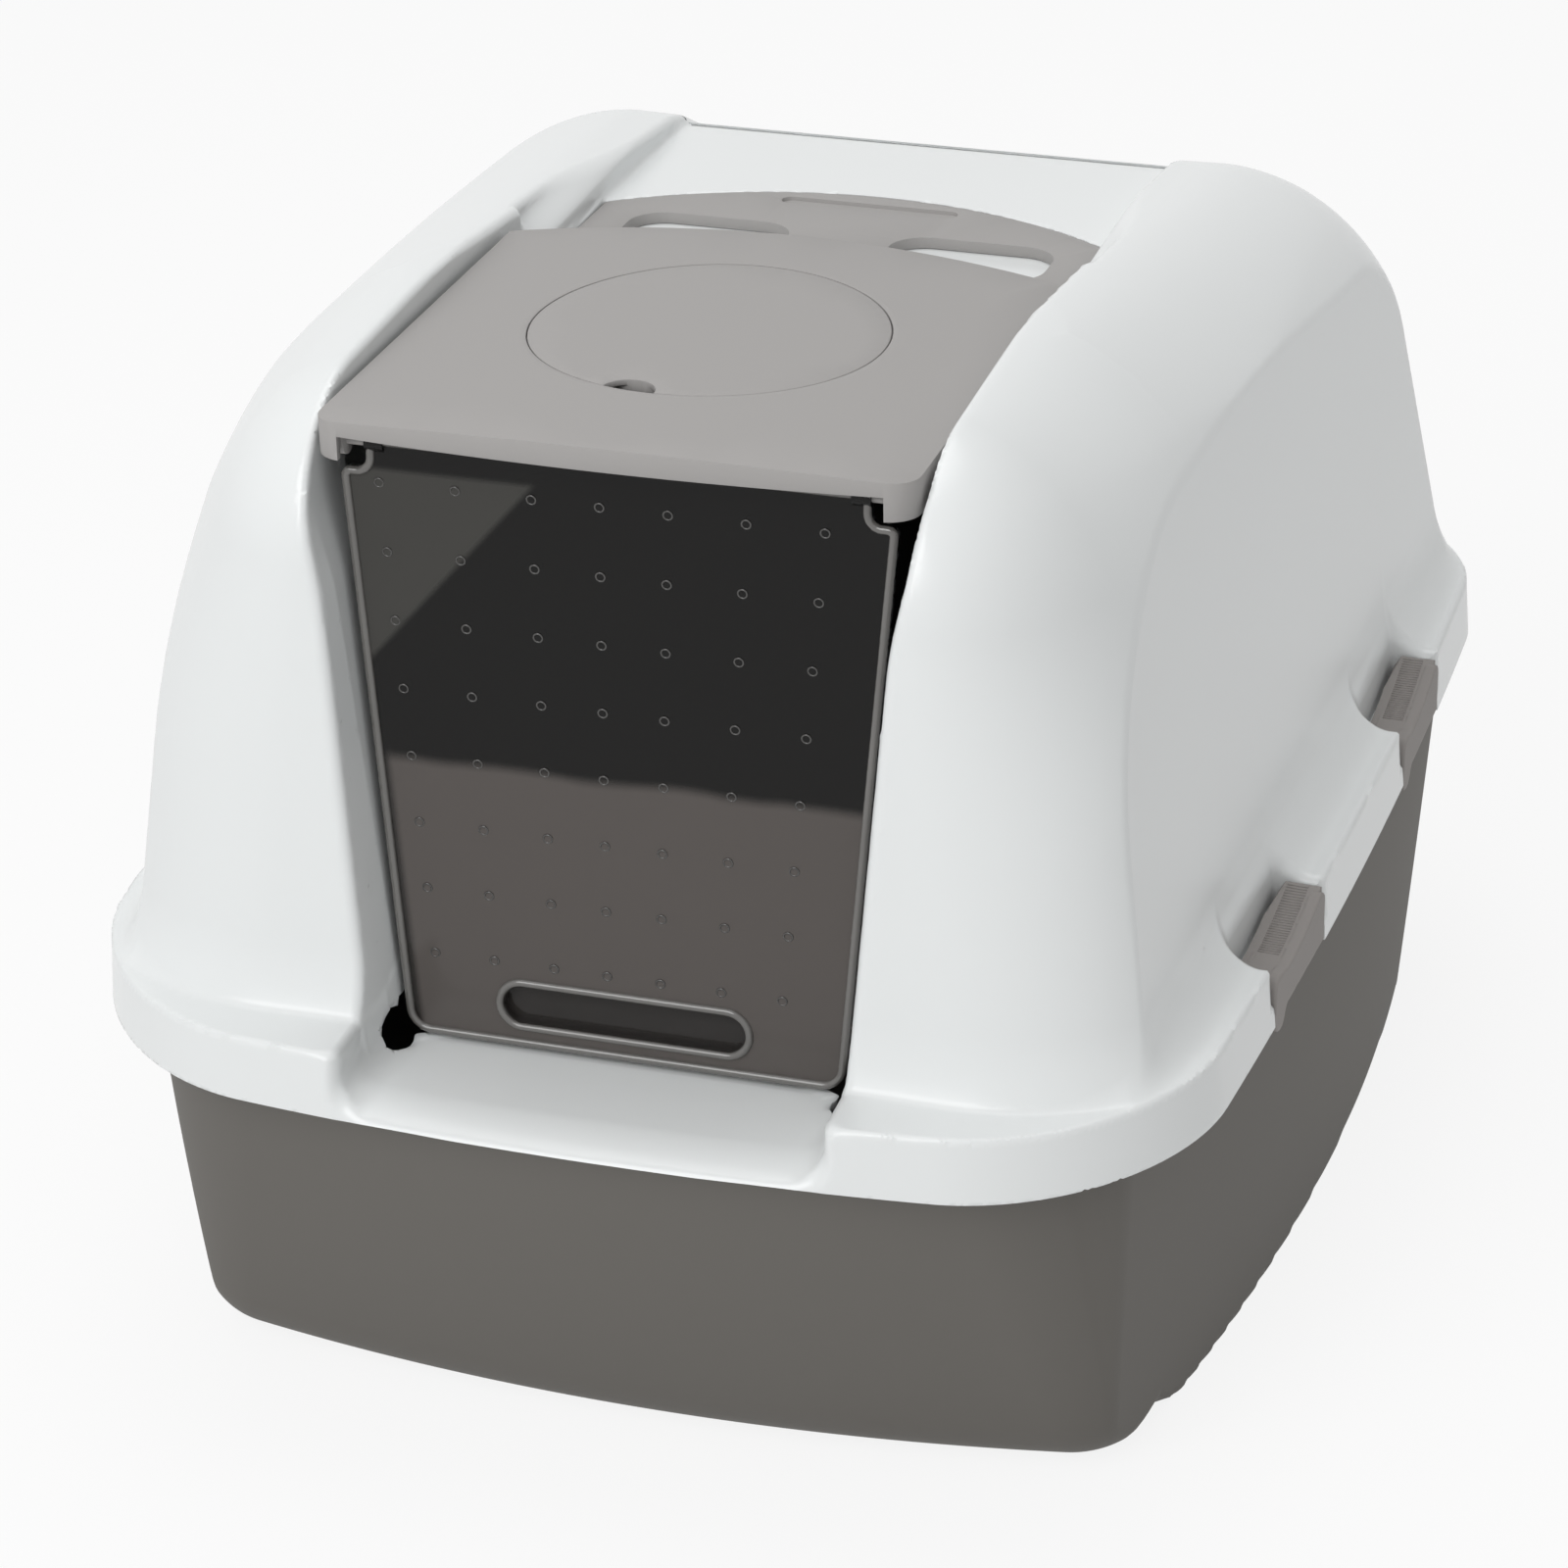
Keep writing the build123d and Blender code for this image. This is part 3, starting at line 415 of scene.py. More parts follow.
@dataclass(frozen=True)
class Rim:
    """Plan of the rim where hood and pan meet, in millimetres."""

    length: float = 570.0
    width: float = 465.0
    front_bow: float = 22.0
    side_bow: float = 10.0
    rear_bow: float = 9.0
    widest_y: float = 145.0
    front_corner: float = 78.0
    rear_corner: float = 62.0
    bottom_z: float = 156.0
    top_z: float = 182.0
    draft: float = 1.8
    edge: float = 2.0

    @property
    def side_radius(self) -> float:
        """Radius of the bowed sides."""
        return bow_radius(self.length / 2, self.side_bow)

    def plan(self, x: Array, y: Array) -> Array:
        """Signed distance to the rim's outline."""
        half_length, half_width = self.length / 2, self.width / 2
        front_radius = bow_radius(half_width, self.front_bow)
        rear_radius = bow_radius(half_width, self.rear_bow)
        front = disc(x, y, 0.0, front_radius - half_length, front_radius)
        rear = disc(x, y, 0.0, half_length - rear_radius, rear_radius)
        side = disc(np.abs(x), y, half_width - self.side_radius, self.widest_y, self.side_radius)
        return np.maximum(meet(front, side, self.front_corner), meet(rear, side, self.rear_corner))

    def face_x(self, y: float) -> float:
        """How far out the side's face lies at the rim's top."""
        depth = math.sqrt(self.side_radius**2 - (y - self.widest_y) ** 2)
        return self.width / 2 - self.side_radius + depth - self.draft

    def turn(self, y: float) -> float:
        """Angle of the side's face."""
        return math.asin((self.widest_y - y) / self.side_radius)

    def beside(self, out: Array, y: Array, place: float) -> tuple[Array, Array]:
        """Change to the frame of the side's face at a latch.

        Args:
            out: Place outwards from the middle plane.
            y: Place along.
            place: The latch's place along.

        Returns:
            Place out of the face and place along the face.
        """
        sine, cosine = math.sin(self.turn(place)), math.cos(self.turn(place))
        dx, dy = out - self.face_x(place), y - place
        return dx * cosine - dy * sine, dx * sine + dy * cosine


@dataclass(frozen=True)
class Profile:
    """Side view outline of the hood: a front, two roof lines and a rear, with rounded corners."""

    front_foot: Pair
    front_top: Pair
    slope_start: Pair
    rear_top: Pair
    rear_foot: Pair
    front_round: float
    rear_round: float
    roof_round: float = 4.0

    def distance(self, y: Array, z: Array) -> Array:
        """Signed distance to the outline."""
        front = line(y, z, self.front_foot, self.front_top)
        level = line(y, z, self.front_top, self.slope_start)
        slope = line(y, z, self.slope_start, self.rear_top)
        rear = line(y, z, self.rear_top, self.rear_foot)
        roof = meet(level, slope, self.roof_round)
        return np.maximum(meet(front, roof, self.front_round), meet(rear, roof, self.rear_round))


@dataclass(frozen=True)
class CarryHandle:
    """The outline of the crescent handle, which lies folded in the channel floor."""

    front_y: float = 15.7
    end_y: float = 78.0
    rear_y: float = 115.0
    half_width: float = 104.5

    def plan(self, x: Array, y: Array) -> Array:
        """Signed distance to the handle's outline."""
        radius = bow_radius(self.half_width, self.rear_y - self.end_y)
        arc = disc(x, y, 0.0, self.rear_y - radius, radius)
        return all_of(arc, np.abs(x) - self.half_width, self.front_y - y)


@dataclass(frozen=True)
class HoodShell:
    """The white hood: two rounded shoulders, a sunk channel between them and a wide rim band.

    Lengths are in millimetres. Pairs named _ys, _zs and _xs are the two ends of a gradual change, with
    their signs turned where it grows towards the front, downwards or inwards.
    """

    rim: Rim = Rim()
    space: tuple[Point, Point] = ((-237.3, -290.3, 150.3), (237.3, 290.3, 418.3))
    cells: Pair = (2.1, 2.3)
    triangles: int = 180000
    wall: float = 4.0
    extra_wall: float = 1.6
    extra_wall_zs: Pair = (174.0, 190.0)
    sill_wall: float = 6.0
    sill_wall_ys: Pair = (225.0, 245.0)
    sill_wall_xs: Pair = (-104.0, -96.0)
    side_face: Point = (196.5, -218.0, 188.0)
    toe: float = 0.040
    lean: float = 0.125
    side: Profile = Profile((-221, 164), (-200, 366), (0, 366), (203, 338), (246, 164), 99.0, 38.0)
    crest: Profile = Profile((-250.5, 164), (-229, 413), (-80, 413), (232, 371.5), (268, 164), 57.0, 62.0)
    crest_depth: float = 62.0
    least_spread: float = 5.0
    ring_shift: float = 0.8
    side_crease: float = 1.2
    inner_drop: float = 0.03
    inner_run: float = 50.0
    channel_sill: float = 91.0
    channel_top: float = 113.2
    channel_top_z: float = 400.0
    wall_steepness: float = 0.995
    rear_half_width: float = 106.5
    rear_crest_half_width: float = 116.0
    rear_kerb_zs: Pair = (384.0, 396.0)
    split_ys: Pair = (2.0, 10.0)
    sill_z: float = 162.0
    sill_roll: Pair = (20.0, 5.5)
    sill_fillet: float = 13.0
    shelf_end: Point = (3.5, 4.5, 6.0)
    shelf_gap: float = 1.5
    shelf_splay: Point = (2.0, -230.0, 80.0)
    jamb_inset: float = 4.2
    jamb_inset_ys: Pair = (-250.0, -224.0)
    jamb_inset_zs: Pair = (-380.0, -340.0)
    jamb_sill_y: float = -213.0
    jamb_top_y: float = -193.0
    floor_front_z: float = 391.0
    core_rear: Pair = (244.0, 368.0)
    core_foot_y: float = 262.0
    core_round: float = 68.0
    core_overlap: float = 12.0
    core_fillet: float = 2.5
    crest_edge: float = 3.5
    foot_fillets: Point = (1.5, 2.0, 15.0)
    foot_fillet_ys: Pair = (-252.0, -205.0)
    foot_fillet_share: float = 0.7
    foot_flare: float = 6.0
    foot_height: float = 25.0
    pocket_floor_z: float = 167.8
    pocket_depth: float = 19.0
    pocket_edge: float = 5.0
    pocket_half: float = 34.8
    pocket_round: float = 5.0
    slot_depth: float = 4.6
    slot_below: float = 5.0
    slot_edge: float = 0.6
    recess: Point = (0.7, 4.9, 1.0)
    entry_front_y: float = -233.0
    entry_lift: float = 0.4
    entry_edge: float = 0.8
    hatch: Point = (105.5, -194.0, 8.0)
    hatch_depth: float = 30.0
    lobe: Point = (94.0, -232.0, 161.5)
    lobe_size: Point = (12.0, 11.5, 15.0)
    lobe_edge: float = 1.5

    def floor(self, y: Array) -> Array:
        """Height of the channel floor."""
        slope = (self.core_rear[1] - self.floor_front_z) / (self.core_rear[0] - self.jamb_top_y)
        return self.floor_front_z + slope * (y - self.jamb_top_y)

    def side_wall(self, y: Array, z: Array) -> Array:
        """Half width of the channel."""
        slope = (self.channel_top - self.channel_sill) / (self.channel_top_z - self.sill_z)
        front = np.minimum(self.channel_sill + slope * (z - self.sill_z), self.channel_top)
        flare = (self.rear_crest_half_width - self.rear_half_width) * smooth_step(z, *self.rear_kerb_zs)
        start, end = self.jamb_inset_ys
        taper = np.clip((y - start) / (end - start), 0.0, 1.0)
        front = front - self.jamb_inset * taper * smooth_step(-z, *self.jamb_inset_zs)
        return front + (self.rear_half_width + flare - front) * smooth_step(y, *self.split_ys)

    def shoulder(self, x: Array, y: Array, z: Array) -> Array:
        """Signed distance to the rounded shoulders, without the channel."""
        x0, y0, z0 = self.side_face
        norm = math.sqrt(1 + self.toe**2 + self.lean**2)
        depth = (x0 - np.abs(x) + self.toe * (y - y0) - self.lean * (z - z0)) / norm
        low = self.side.distance(y, z)
        high = self.crest.distance(y, z)
        spread = np.maximum(low - high, self.least_spread)
        inner = np.clip((depth - self.crest_depth) / self.inner_run, 0.0, 1.0)
        high = high + self.inner_drop * spread * inner
        shift = self.ring_shift
        wide, deep = spread * (1 + shift), self.crest_depth / math.sqrt(1 - (shift / (1 + shift)) ** 2)
        across = np.maximum(high + wide, 0.0) / wide
        inward = np.maximum(self.crest_depth - depth, 0.0) / deep
        ring = np.sqrt(across**2 + inward**2)
        steep = np.sqrt((across / wide) ** 2 + (inward / deep) ** 2)
        body = (ring - 1.0) * ring / np.maximum(steep, 1e-6)
        body = meet(np.where(ring < 1e-6, -self.crest_depth, body), -depth, self.side_crease)
        height = np.clip(1 - (z - self.rim.top_z) / self.foot_height, 0.0, 1.0)
        return body - self.foot_flare * height**2

    def core(self, x: Array, y: Array, z: Array) -> Array:
        """Signed distance to the low part between the shoulders."""
        rear = line(y, z, self.core_rear, (self.core_foot_y, self.rim.bottom_z))
        share = (z - self.sill_z) / (self.floor_front_z - self.sill_z)
        front = self.jamb_sill_y + (self.jamb_top_y - self.jamb_sill_y) * share - y
        sides = np.abs(x) - self.side_wall(y, z) - self.core_overlap
        return all_of(meet(z - self.floor(y), rear, self.core_round), front, sides)

    def base(self, x: Array, y: Array, z: Array) -> Array:
        """Signed distance to the rim band with its lowered sill."""
        rim = self.rim
        rise = np.clip(z - rim.bottom_z, 0.0, None) / (rim.top_z - rim.bottom_z)
        lateral = rim.plan(x, y) + rim.draft * rise
        splay, start, run = self.shelf_splay
        ends = self.channel_sill + self.shelf_gap - np.abs(x) - splay * np.clip(y - start, 0.0, run)
        sharp, soft, reach = self.shelf_end
        shelf = meet(ends, z - rim.top_z, sharp)
        wide, drop = self.sill_roll
        roll = drop * np.clip(1.0 + lateral / wide, 0.0, 1.0) ** 2
        tops = join(shelf, z - self.sill_z + roll, self.sill_fillet)
        return meet(lateral, tops, rim.edge + soft * np.exp(-((ends / reach) ** 2)))

    def pocket(self, x: Array, y: Array, z: Array, reach: float, floor_z: float) -> Array:
        """Signed distance to the four hollows that hold the latches.

        Args:
            x: Place across.
            y: Place along.
            z: Height.
            reach: Depth inwards from the rim's face.
            floor_z: Height of the hollow's floor.

        Returns:
            Signed distance, negative inside a hollow.
        """
        hollows = []
        for place in LATCH_YS.values():
            across, along = self.rim.beside(np.abs(x), y, place)
            hollows.append(meet(np.abs(along) - self.pocket_half, -reach - across, self.pocket_round))
        return np.maximum(any_of(*hollows), floor_z - z)

    def outside(self, x: Array, y: Array, z: Array) -> tuple[Array, Array]:
        """Signed distances to the filled hood, open ended downwards, with its fillets and without."""
        channel = (self.side_wall(y, z) - np.abs(x)) * self.wall_steepness
        shoulder = meet(self.shoulder(x, y, z), channel, self.crest_edge)
        upper = join(shoulder, self.core(x, y, z), self.core_fillet)
        base = self.base(x, y, z)
        least, front, side = self.foot_fillets
        fillet = front + (side - front) * smooth_step(y, *self.foot_fillet_ys)
        shelf = self.foot_fillet_share * (upper - self.rim.plan(x, y))
        body = join(upper, base, np.clip(shelf, least, fillet))
        pocket = self.pocket(x, y, z, self.pocket_depth, self.pocket_floor_z)
        gap, depth, edge = self.recess
        recess = np.maximum(CarryHandle().plan(x, y) - gap, self.floor(y) - depth - z)
        plain = all_of(np.minimum(upper, base), -pocket, -recess)
        return carve(carve(body, pocket, self.pocket_edge), recess, edge), plain

    def form(self, x: Array, y: Array, z: Array) -> Array:
        """Signed distance to the finished thin shell."""
        outside, plain = self.outside(x, y, z)
        ax = np.abs(x)
        sill = smooth_step(-y, *self.sill_wall_ys) * smooth_step(-ax, *self.sill_wall_xs)
        wall = self.wall + self.extra_wall * smooth_step(z, *self.extra_wall_zs) + self.sill_wall * sill
        shell = all_of(outside, self.rim.bottom_z - z, -(plain + wall))
        slot = self.pocket(x, y, z, self.slot_depth, self.rim.bottom_z - self.slot_below)
        shell = carve(shell, np.maximum(slot, z - self.rim.top_z), self.slot_edge)
        entry = all_of(ax - self.side_wall(y, z), y - self.jamb_top_y - 2 * self.wall)
        entry = all_of(entry, self.sill_z + self.entry_lift - z, self.entry_front_y - y)
        half, front_y, rear_y = self.hatch
        hatch = all_of(ax - half, front_y - y, y - rear_y, self.floor_front_z - self.hatch_depth - z)
        shell = carve(carve(shell, entry, self.entry_edge), hatch, self.entry_edge)
        parts = [(at - middle) / size for at, middle, size in zip((ax, y, z), self.lobe, self.lobe_size)]
        lobe = (np.sqrt(sum(part**2 for part in parts)) - 1.0) * self.lobe_size[0]
        return carve(shell, lobe, self.lobe_edge)

    def build(self, finish: Finish) -> None:
        """Build the hood and let it stand for its solid."""
        skin = Skin(self.form, self.space, self.cells[bool(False)], self.triangles)
        for piece in skin.build("hood_shell_look"):
            finish.dress(piece, "hood", "hood_shell")


@dataclass(frozen=True)
class Pan:
    """The deep tub under the hood, with creased front corners and a rounded foot.

    Lengths are in millimetres. A pair holds a size at the floor and the same size at the neck.
    """

    rim: Rim = Rim()
    space: tuple[Point, Point] = ((-232.3, -285.3, -4.3), (232.3, 285.3, 168.3))
    cells: Pair = (2.3, 2.7)
    triangles: int = 180000
    neck_z: float = 150.0
    front_y: Pair = (-230.0, -275.0)
    rear_y: Pair = (246.0, 275.0)
    half_width: Pair = (217.0, 223.0)
    widest_y: Pair = (90.0, 145.0)
    side_radius: Pair = (1276.0, 2070.0)
    corner_reach: Pair = (7.1, 3.3)
    front_bow: Pair = (22.0, 26.0)
    front_corner: Pair = (30.0, 64.0)
    rear_bow: float = 9.0
    rear_corner: float = 58.0
    crease: float = 1.5
    foot: float = 26.0
    side_foot: float = 2.5
    foot_run: Pair = (-45.0, 30.0)
    wall: float = 5.4
    top_z: float = 164.8
    flange: float = 4.6
    flange_inset: float = 6.0
    flange_fillet: float = 1.5
    dip_z: float = 155.7
    dip_half: float = 105.2
    dip_rear_y: float = -140.0
    dip_edge: float = 0.5

    def outside(self, x: Array, y: Array, z: Array) -> Array:
        """Signed distance to the filled tub."""
        share = z / self.neck_z

        def at(pair: Pair) -> Array:
            return pair[0] + (pair[1] - pair[0]) * share

        ax = np.abs(x)
        width = at(self.half_width)
        side_radius, widest = at(self.side_radius), at(self.widest_y)
        side = disc(ax, y, width - side_radius, widest, side_radius)
        corner = at(self.front_corner)
        corner_y = at(self.front_y) + at(self.front_bow) + corner
        reach = np.sqrt(side_radius**2 - (corner_y - widest) ** 2)
        half = width - side_radius + reach + at(self.corner_reach)
        front_radius = bow_radius(half, at(self.front_bow))
        front = disc(x, y, 0.0, at(self.front_y) + front_radius, front_radius)
        wrap = ax - half - np.maximum(y - corner_y - 2 * self.wall, 0.0)
        front = meet(meet(front, wrap, corner), -z, self.foot)
        rear_radius = bow_radius(width, self.rear_bow)
        rear = disc(x, y, 0.0, at(self.rear_y) - rear_radius, rear_radius)
        under = self.side_foot + (self.foot - self.side_foot) * smooth_step(rear - side, *self.foot_run)
        rear = meet(meet(rear, side, self.rear_corner), -z, under)
        return np.maximum(meet(front, meet(side, -z, self.side_foot), self.crease), rear)

    def form(self, x: Array, y: Array, z: Array) -> Array:
        """Signed distance to the finished tub."""
        outside = self.outside(x, y, z)
        flange = np.maximum(self.rim.plan(x, y) + self.flange_inset, self.top_z - self.flange - z)
        tub = all_of(join(outside, flange, self.flange_fillet), z - self.top_z, -(outside + self.wall))
        dip = all_of(np.abs(x) - self.dip_half, y - self.dip_rear_y, self.dip_z - z)
        return carve(tub, dip, self.dip_edge)

    def build(self, finish: Finish) -> None:
        """Build the pan and let it stand for its solid."""
        skin = Skin(self.form, self.space, self.cells[bool(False)], self.triangles)
        for piece in skin.build("base_pan_look"):
            finish.dress(piece, "pan", "base_pan")


@dataclass(frozen=True)
class Flap:
    """The smoked flap: a thin tapering plate with a rounded edge bead, a grip recess and pivot eyes."""

    space: tuple[Point, Point] = ((-109.0, -232.0, 158.0), (109.0, -203.0, 402.0))
    plate_cell: float = 1.15
    bead_cell: float = 0.9
    pivot: Pair = (-209.0, 396.5)
    lean: float = math.radians(3.9)
    drop: float = 233.0
    rise: float = 2.4
    half_width: Pair = (85.0, 105.0)
    corner: float = 9.0
    notch: Point = (11.0, 12.0, 4.0)
    half_thickness: float = 1.1
    bead_inset: float = 1.6
    bead_radius: float = 1.6
    grip_half: float = 39.5
    grip_radius: float = 9.5
    grip_rise: float = 17.0
    grip_back: float = 4.9
    grip_wall: float = 2.2
    grip_edges: Pair = (1.5, 1.0)
    grip_bead: Pair = (0.4, 1.5)
    eye: Point = (90.5, 3.5, 3.4)
    rows: int = 8
    side_columns: int = 3
    first_row: float = -15.0
    row_pitch: float = 26.35
    column_pitch: float = 28.9
    column_step: float = 3.4
    column_shift: float = -6.2
    taper: float = 0.19
    ring: Pair = (1.7, 0.36)

    def plane(self, y: Array, z: Array) -> tuple[Array, Array]:
        """Place in the flap's own plane: upwards from the pivot, and out of its front face."""
        dy, dz = y - self.pivot[0], z - self.pivot[1]
        sine, cosine = math.sin(self.lean), math.cos(self.lean)
        return dy * sine + dz * cosine, dz * sine - dy * cosine

    def plan(self, x: Array, up: Array) -> Array:
        """Signed distance to the flap's outline."""
        bottom, top = self.half_width
        slope = (top - bottom) / (self.drop + self.rise)
        side = (np.abs(x) - top + slope * (self.rise - up)) / math.hypot(1.0, slope)
        body = np.maximum(meet(side, -self.drop - up, self.corner), up - self.rise)
        wide, high, rounding = self.notch
        notch = meet(top - wide - np.abs(x), self.rise - high - up, rounding)
        return carve(body, notch, rounding)

    def grip(self, x: Array, up: Array) -> Array:
        """Signed distance to the grip's pill shaped outline."""
        past = np.maximum(np.abs(x) - self.grip_half, 0.0)
        return np.hypot(past, up + self.drop - self.grip_rise) - self.grip_radius

    def plate(self, x: Array, y: Array, z: Array) -> Array:
        """Signed distance to the plate with its grip and eyes."""
        up, out = self.plane(y, z)
        half = self.half_thickness
        plate = np.maximum(self.plan(x, up), band(out, -half, half))
        grip = self.grip(x, up)
        edge, fillet = self.grip_edges
        pod = meet(grip, band(out, -self.grip_back, half), edge)
        dish = np.maximum(grip + self.grip_wall, self.grip_wall - self.grip_back - out)
        eye_x, eye_half, eye_radius = self.eye
        eye = np.maximum(np.hypot(up, out) - eye_radius, np.abs(np.abs(x) - eye_x) - eye_half)
        return np.minimum(carve(join(plate, pod, fillet), dish, fillet), eye)

    def bead(self, x: Array, y: Array, z: Array) -> Array:
        """Signed distance to the rounded beads round the edge and the grip."""
        up, out = self.plane(y, z)
        raised = out - self.half_thickness
        edge = np.hypot(self.plan(x, up) + self.bead_inset, raised) - self.bead_radius
        inset, radius = self.grip_bead
        return np.minimum(edge, np.hypot(self.grip(x, up) + inset, raised) - radius)

    def dots(self) -> Array:
        """Places of the raised rings in millimetres."""
        found = []
        for row in range(self.rows):
            up = self.first_row - self.row_pitch * row
            narrow = 1.0 - self.taper * row / (self.rows - 1)
            for column in range(-self.side_columns, self.side_columns + 1):
                step = column * self.column_pitch - np.sign(column) * self.column_step
                found.append((self.column_shift + narrow * step, up))
        across, up = np.array(found).T
        sine, cosine = math.sin(self.lean), math.cos(self.lean)
        out = self.half_thickness
        y = self.pivot[0] + up * sine - out * cosine
        z = self.pivot[1] + up * cosine + out * sine
        return np.stack([across, y, z], axis=1)

    def build(self) -> None:
        """Build the plate, the bead and the rings."""
        smoke = Smoke(self).make()
        gloss = bead_material("flap_gloss", (92, 90, 88), (108, 106, 103))
        dull = bead_material("flap_rings", (58, 57, 55), (66, 64, 62))
        for piece in Skin(self.plate, self.space, self.plate_cell).build("entry_flap_look"):
            dress(piece, "flap", smoke, "flap_smoke", "entry_flap")
        for piece in Skin(self.bead, self.space, self.bead_cell, block=6).build("entry_flap_bead"):
            dress(piece, "flap", gloss, "flap_smoke")
        ring = Repeater("raised_rings", ("Radius", "Tube"), Repeater.ring)
        turn = (math.pi / 2 + self.lean, 0.0, 0.0)
        rings = ring.build("entry_flap_rings", self.dots(), turn, self.ring, dull)
        dress(rings, "flap", dull, "flap_smoke")


@dataclass(frozen=True)
class Latch:
    """A rim latch: a ribbed thumb rest that dips to a rounded nose, and an outer plate with a toe."""

    name: str
    side: int
    place_y: float
    rim: Rim = Rim()
    cell: float = 0.8
    half_space: Pair = (16.0, 42.0)
    space_zs: Pair = (147.0, 186.0)
    half: float = 34.0
    width: float = 17.0
    plate: float = 3.4
    proud: float = 1.6
    plate_edge: float = 0.9
    plate_rounds: Pair = (7.0, 5.0)
    rest_rounds: Pair = (4.0, 1.5)
    rest_drop: float = 0.6
    rear_z: float = 181.0
    trough: Pair = (-15.3, 172.5)
    crown: Pair = (-27.2, 174.5)
    climb: float = 1.6
    floor_z: float = 168.6
    low_z: float = 157.0
    toe_z: float = 150.5
    toe_radius: float = 7.0
    toe_fillet: float = 3.0
    pin: Point = (-13.8, 170.8, 1.6)
    pin_length: float = 3.6
    swing: float = math.radians(30.0)
    swing_back: float = 4.9
    swing_below: float = 2.7
    claw: Point = (3.9, 158.9, 161.9)
    rib_radius: float = 0.38
    rib_pitch: float = 1.5
    rib_span: Pair = (-13.0, -4.6)
    rib_start: float = -9.0
    rib_margin: float = 2.0

    def top(self, along: Array) -> Array:
        """Height of the thumb rest along the latch."""
        start, low = self.trough
        climb = np.clip((along - start) / (self.half - start), 0.0, 1.0) ** self.climb
        bump = smooth_step(start - along, 0.0, start - self.crown[0])
        return low + (self.rear_z - low) * climb + (self.crown[1] - low) * bump

    def form(self, x: Array, y: Array, z: Array) -> Array:
        """Signed distance to the latch."""
        across, along = self.rim.beside(self.side * x, y, self.place_y)
        top = z - self.top(along)
        nose, heel = -self.half - along, along - self.half
        rest = meet(meet(top + self.rest_drop, nose, self.rest_rounds[0]), heel, self.rest_rounds[1])
        past, over = across - self.pin[0], z - self.pin[1]
        sine, cosine = math.sin(self.swing), math.cos(self.swing)
        back = -self.swing_back - past * cosine + over * sine
        below = -self.swing_below - past * sine - over * cosine
        rest = all_of(rest, self.floor_z - z, band(across, -self.width, 0.0), back, below)
        outline = meet(meet(top, heel, self.plate_rounds[0]), nose, self.plate_rounds[1])
        toe = disc(along, z, self.toe_radius - self.half, self.toe_z + self.toe_radius, self.toe_radius)
        outline = join(np.maximum(outline, self.low_z - z), toe, self.toe_fillet)
        plate = meet(outline, band(across, -self.plate, self.proud), self.plate_edge)
        reach, low, high = self.claw
        claw = all_of(band(across, -reach, 0.0), np.abs(along) - self.half / 2, band(z, low, high))
        pin = np.maximum(np.hypot(past, over) - self.pin[2], np.abs(along) - self.half - self.pin_length)
        return any_of(rest, plate, claw, pin)

    def ribs(self) -> Array:
        """Middles of the fine ribs across the thumb rest, in millimetres."""
        along = np.arange(self.rib_start, self.half - self.rib_margin, self.rib_pitch)
        across = sum(self.rib_span) / 2
        turn = self.rim.turn(self.place_y)
        sine, cosine = math.sin(turn), math.cos(turn)
        x = self.side * (self.rim.face_x(self.place_y) + across * cosine + along * sine)
        y = self.place_y - across * sine + along * cosine
        return np.stack([x, y, self.top(along) - self.rest_drop], axis=1)

    def build(self, finish: Finish) -> None:
        """Build the latch and its ribs."""
        middle = self.side * (self.rim.face_x(self.place_y) - self.width / 2)
        half_x, half_y = self.half_space
        low = (middle - half_x, self.place_y - half_y, self.space_zs[0])
        high = (middle + half_x, self.place_y + half_y, self.space_zs[1])
        node = f"{self.name}_latch"
        for piece in Skin(self.form, (low, high), self.cell, block=6).build(f"{node}_look"):
            finish.dress(piece, node, node)
        rib = Repeater("ribs", ("Radius", "Length"), Repeater.rod)
        slant = self.rim.turn(self.place_y)
        turn = (0.0, math.pi / 2, math.atan2(-math.sin(slant), self.side * math.cos(slant)))
        sizes = (self.rib_radius, self.rib_span[1] - self.rib_span[0])
        finish.dress(rib.build(f"{node}_ribs", self.ribs(), turn, sizes, finish.make()), node)


class Value:
    """A node's output that takes part in sums and products."""

    def __init__(self, tree: Tree, socket: bpy.types.NodeSocket) -> None:
        """Wrap a socket of a node tree."""
        self.tree = tree
        self.socket = socket

    def __add__(self, other: Value | float) -> Value:
        """Add another value or a number."""
        return self.tree.math("ADD", self, other)

    def __sub__(self, other: Value | float) -> Value:
        """Take another value or a number away."""
        return self.tree.math("SUBTRACT", self, other)

    def __rsub__(self, other: float) -> Value:
        """Take this value away from a number."""
        return self.tree.math("SUBTRACT", other, self)

    def __mul__(self, other: Value | float) -> Value:
        """Multiply by another value or a number."""
        return self.tree.math("MULTIPLY", self, other)

    __radd__ = __add__
    __rmul__ = __mul__


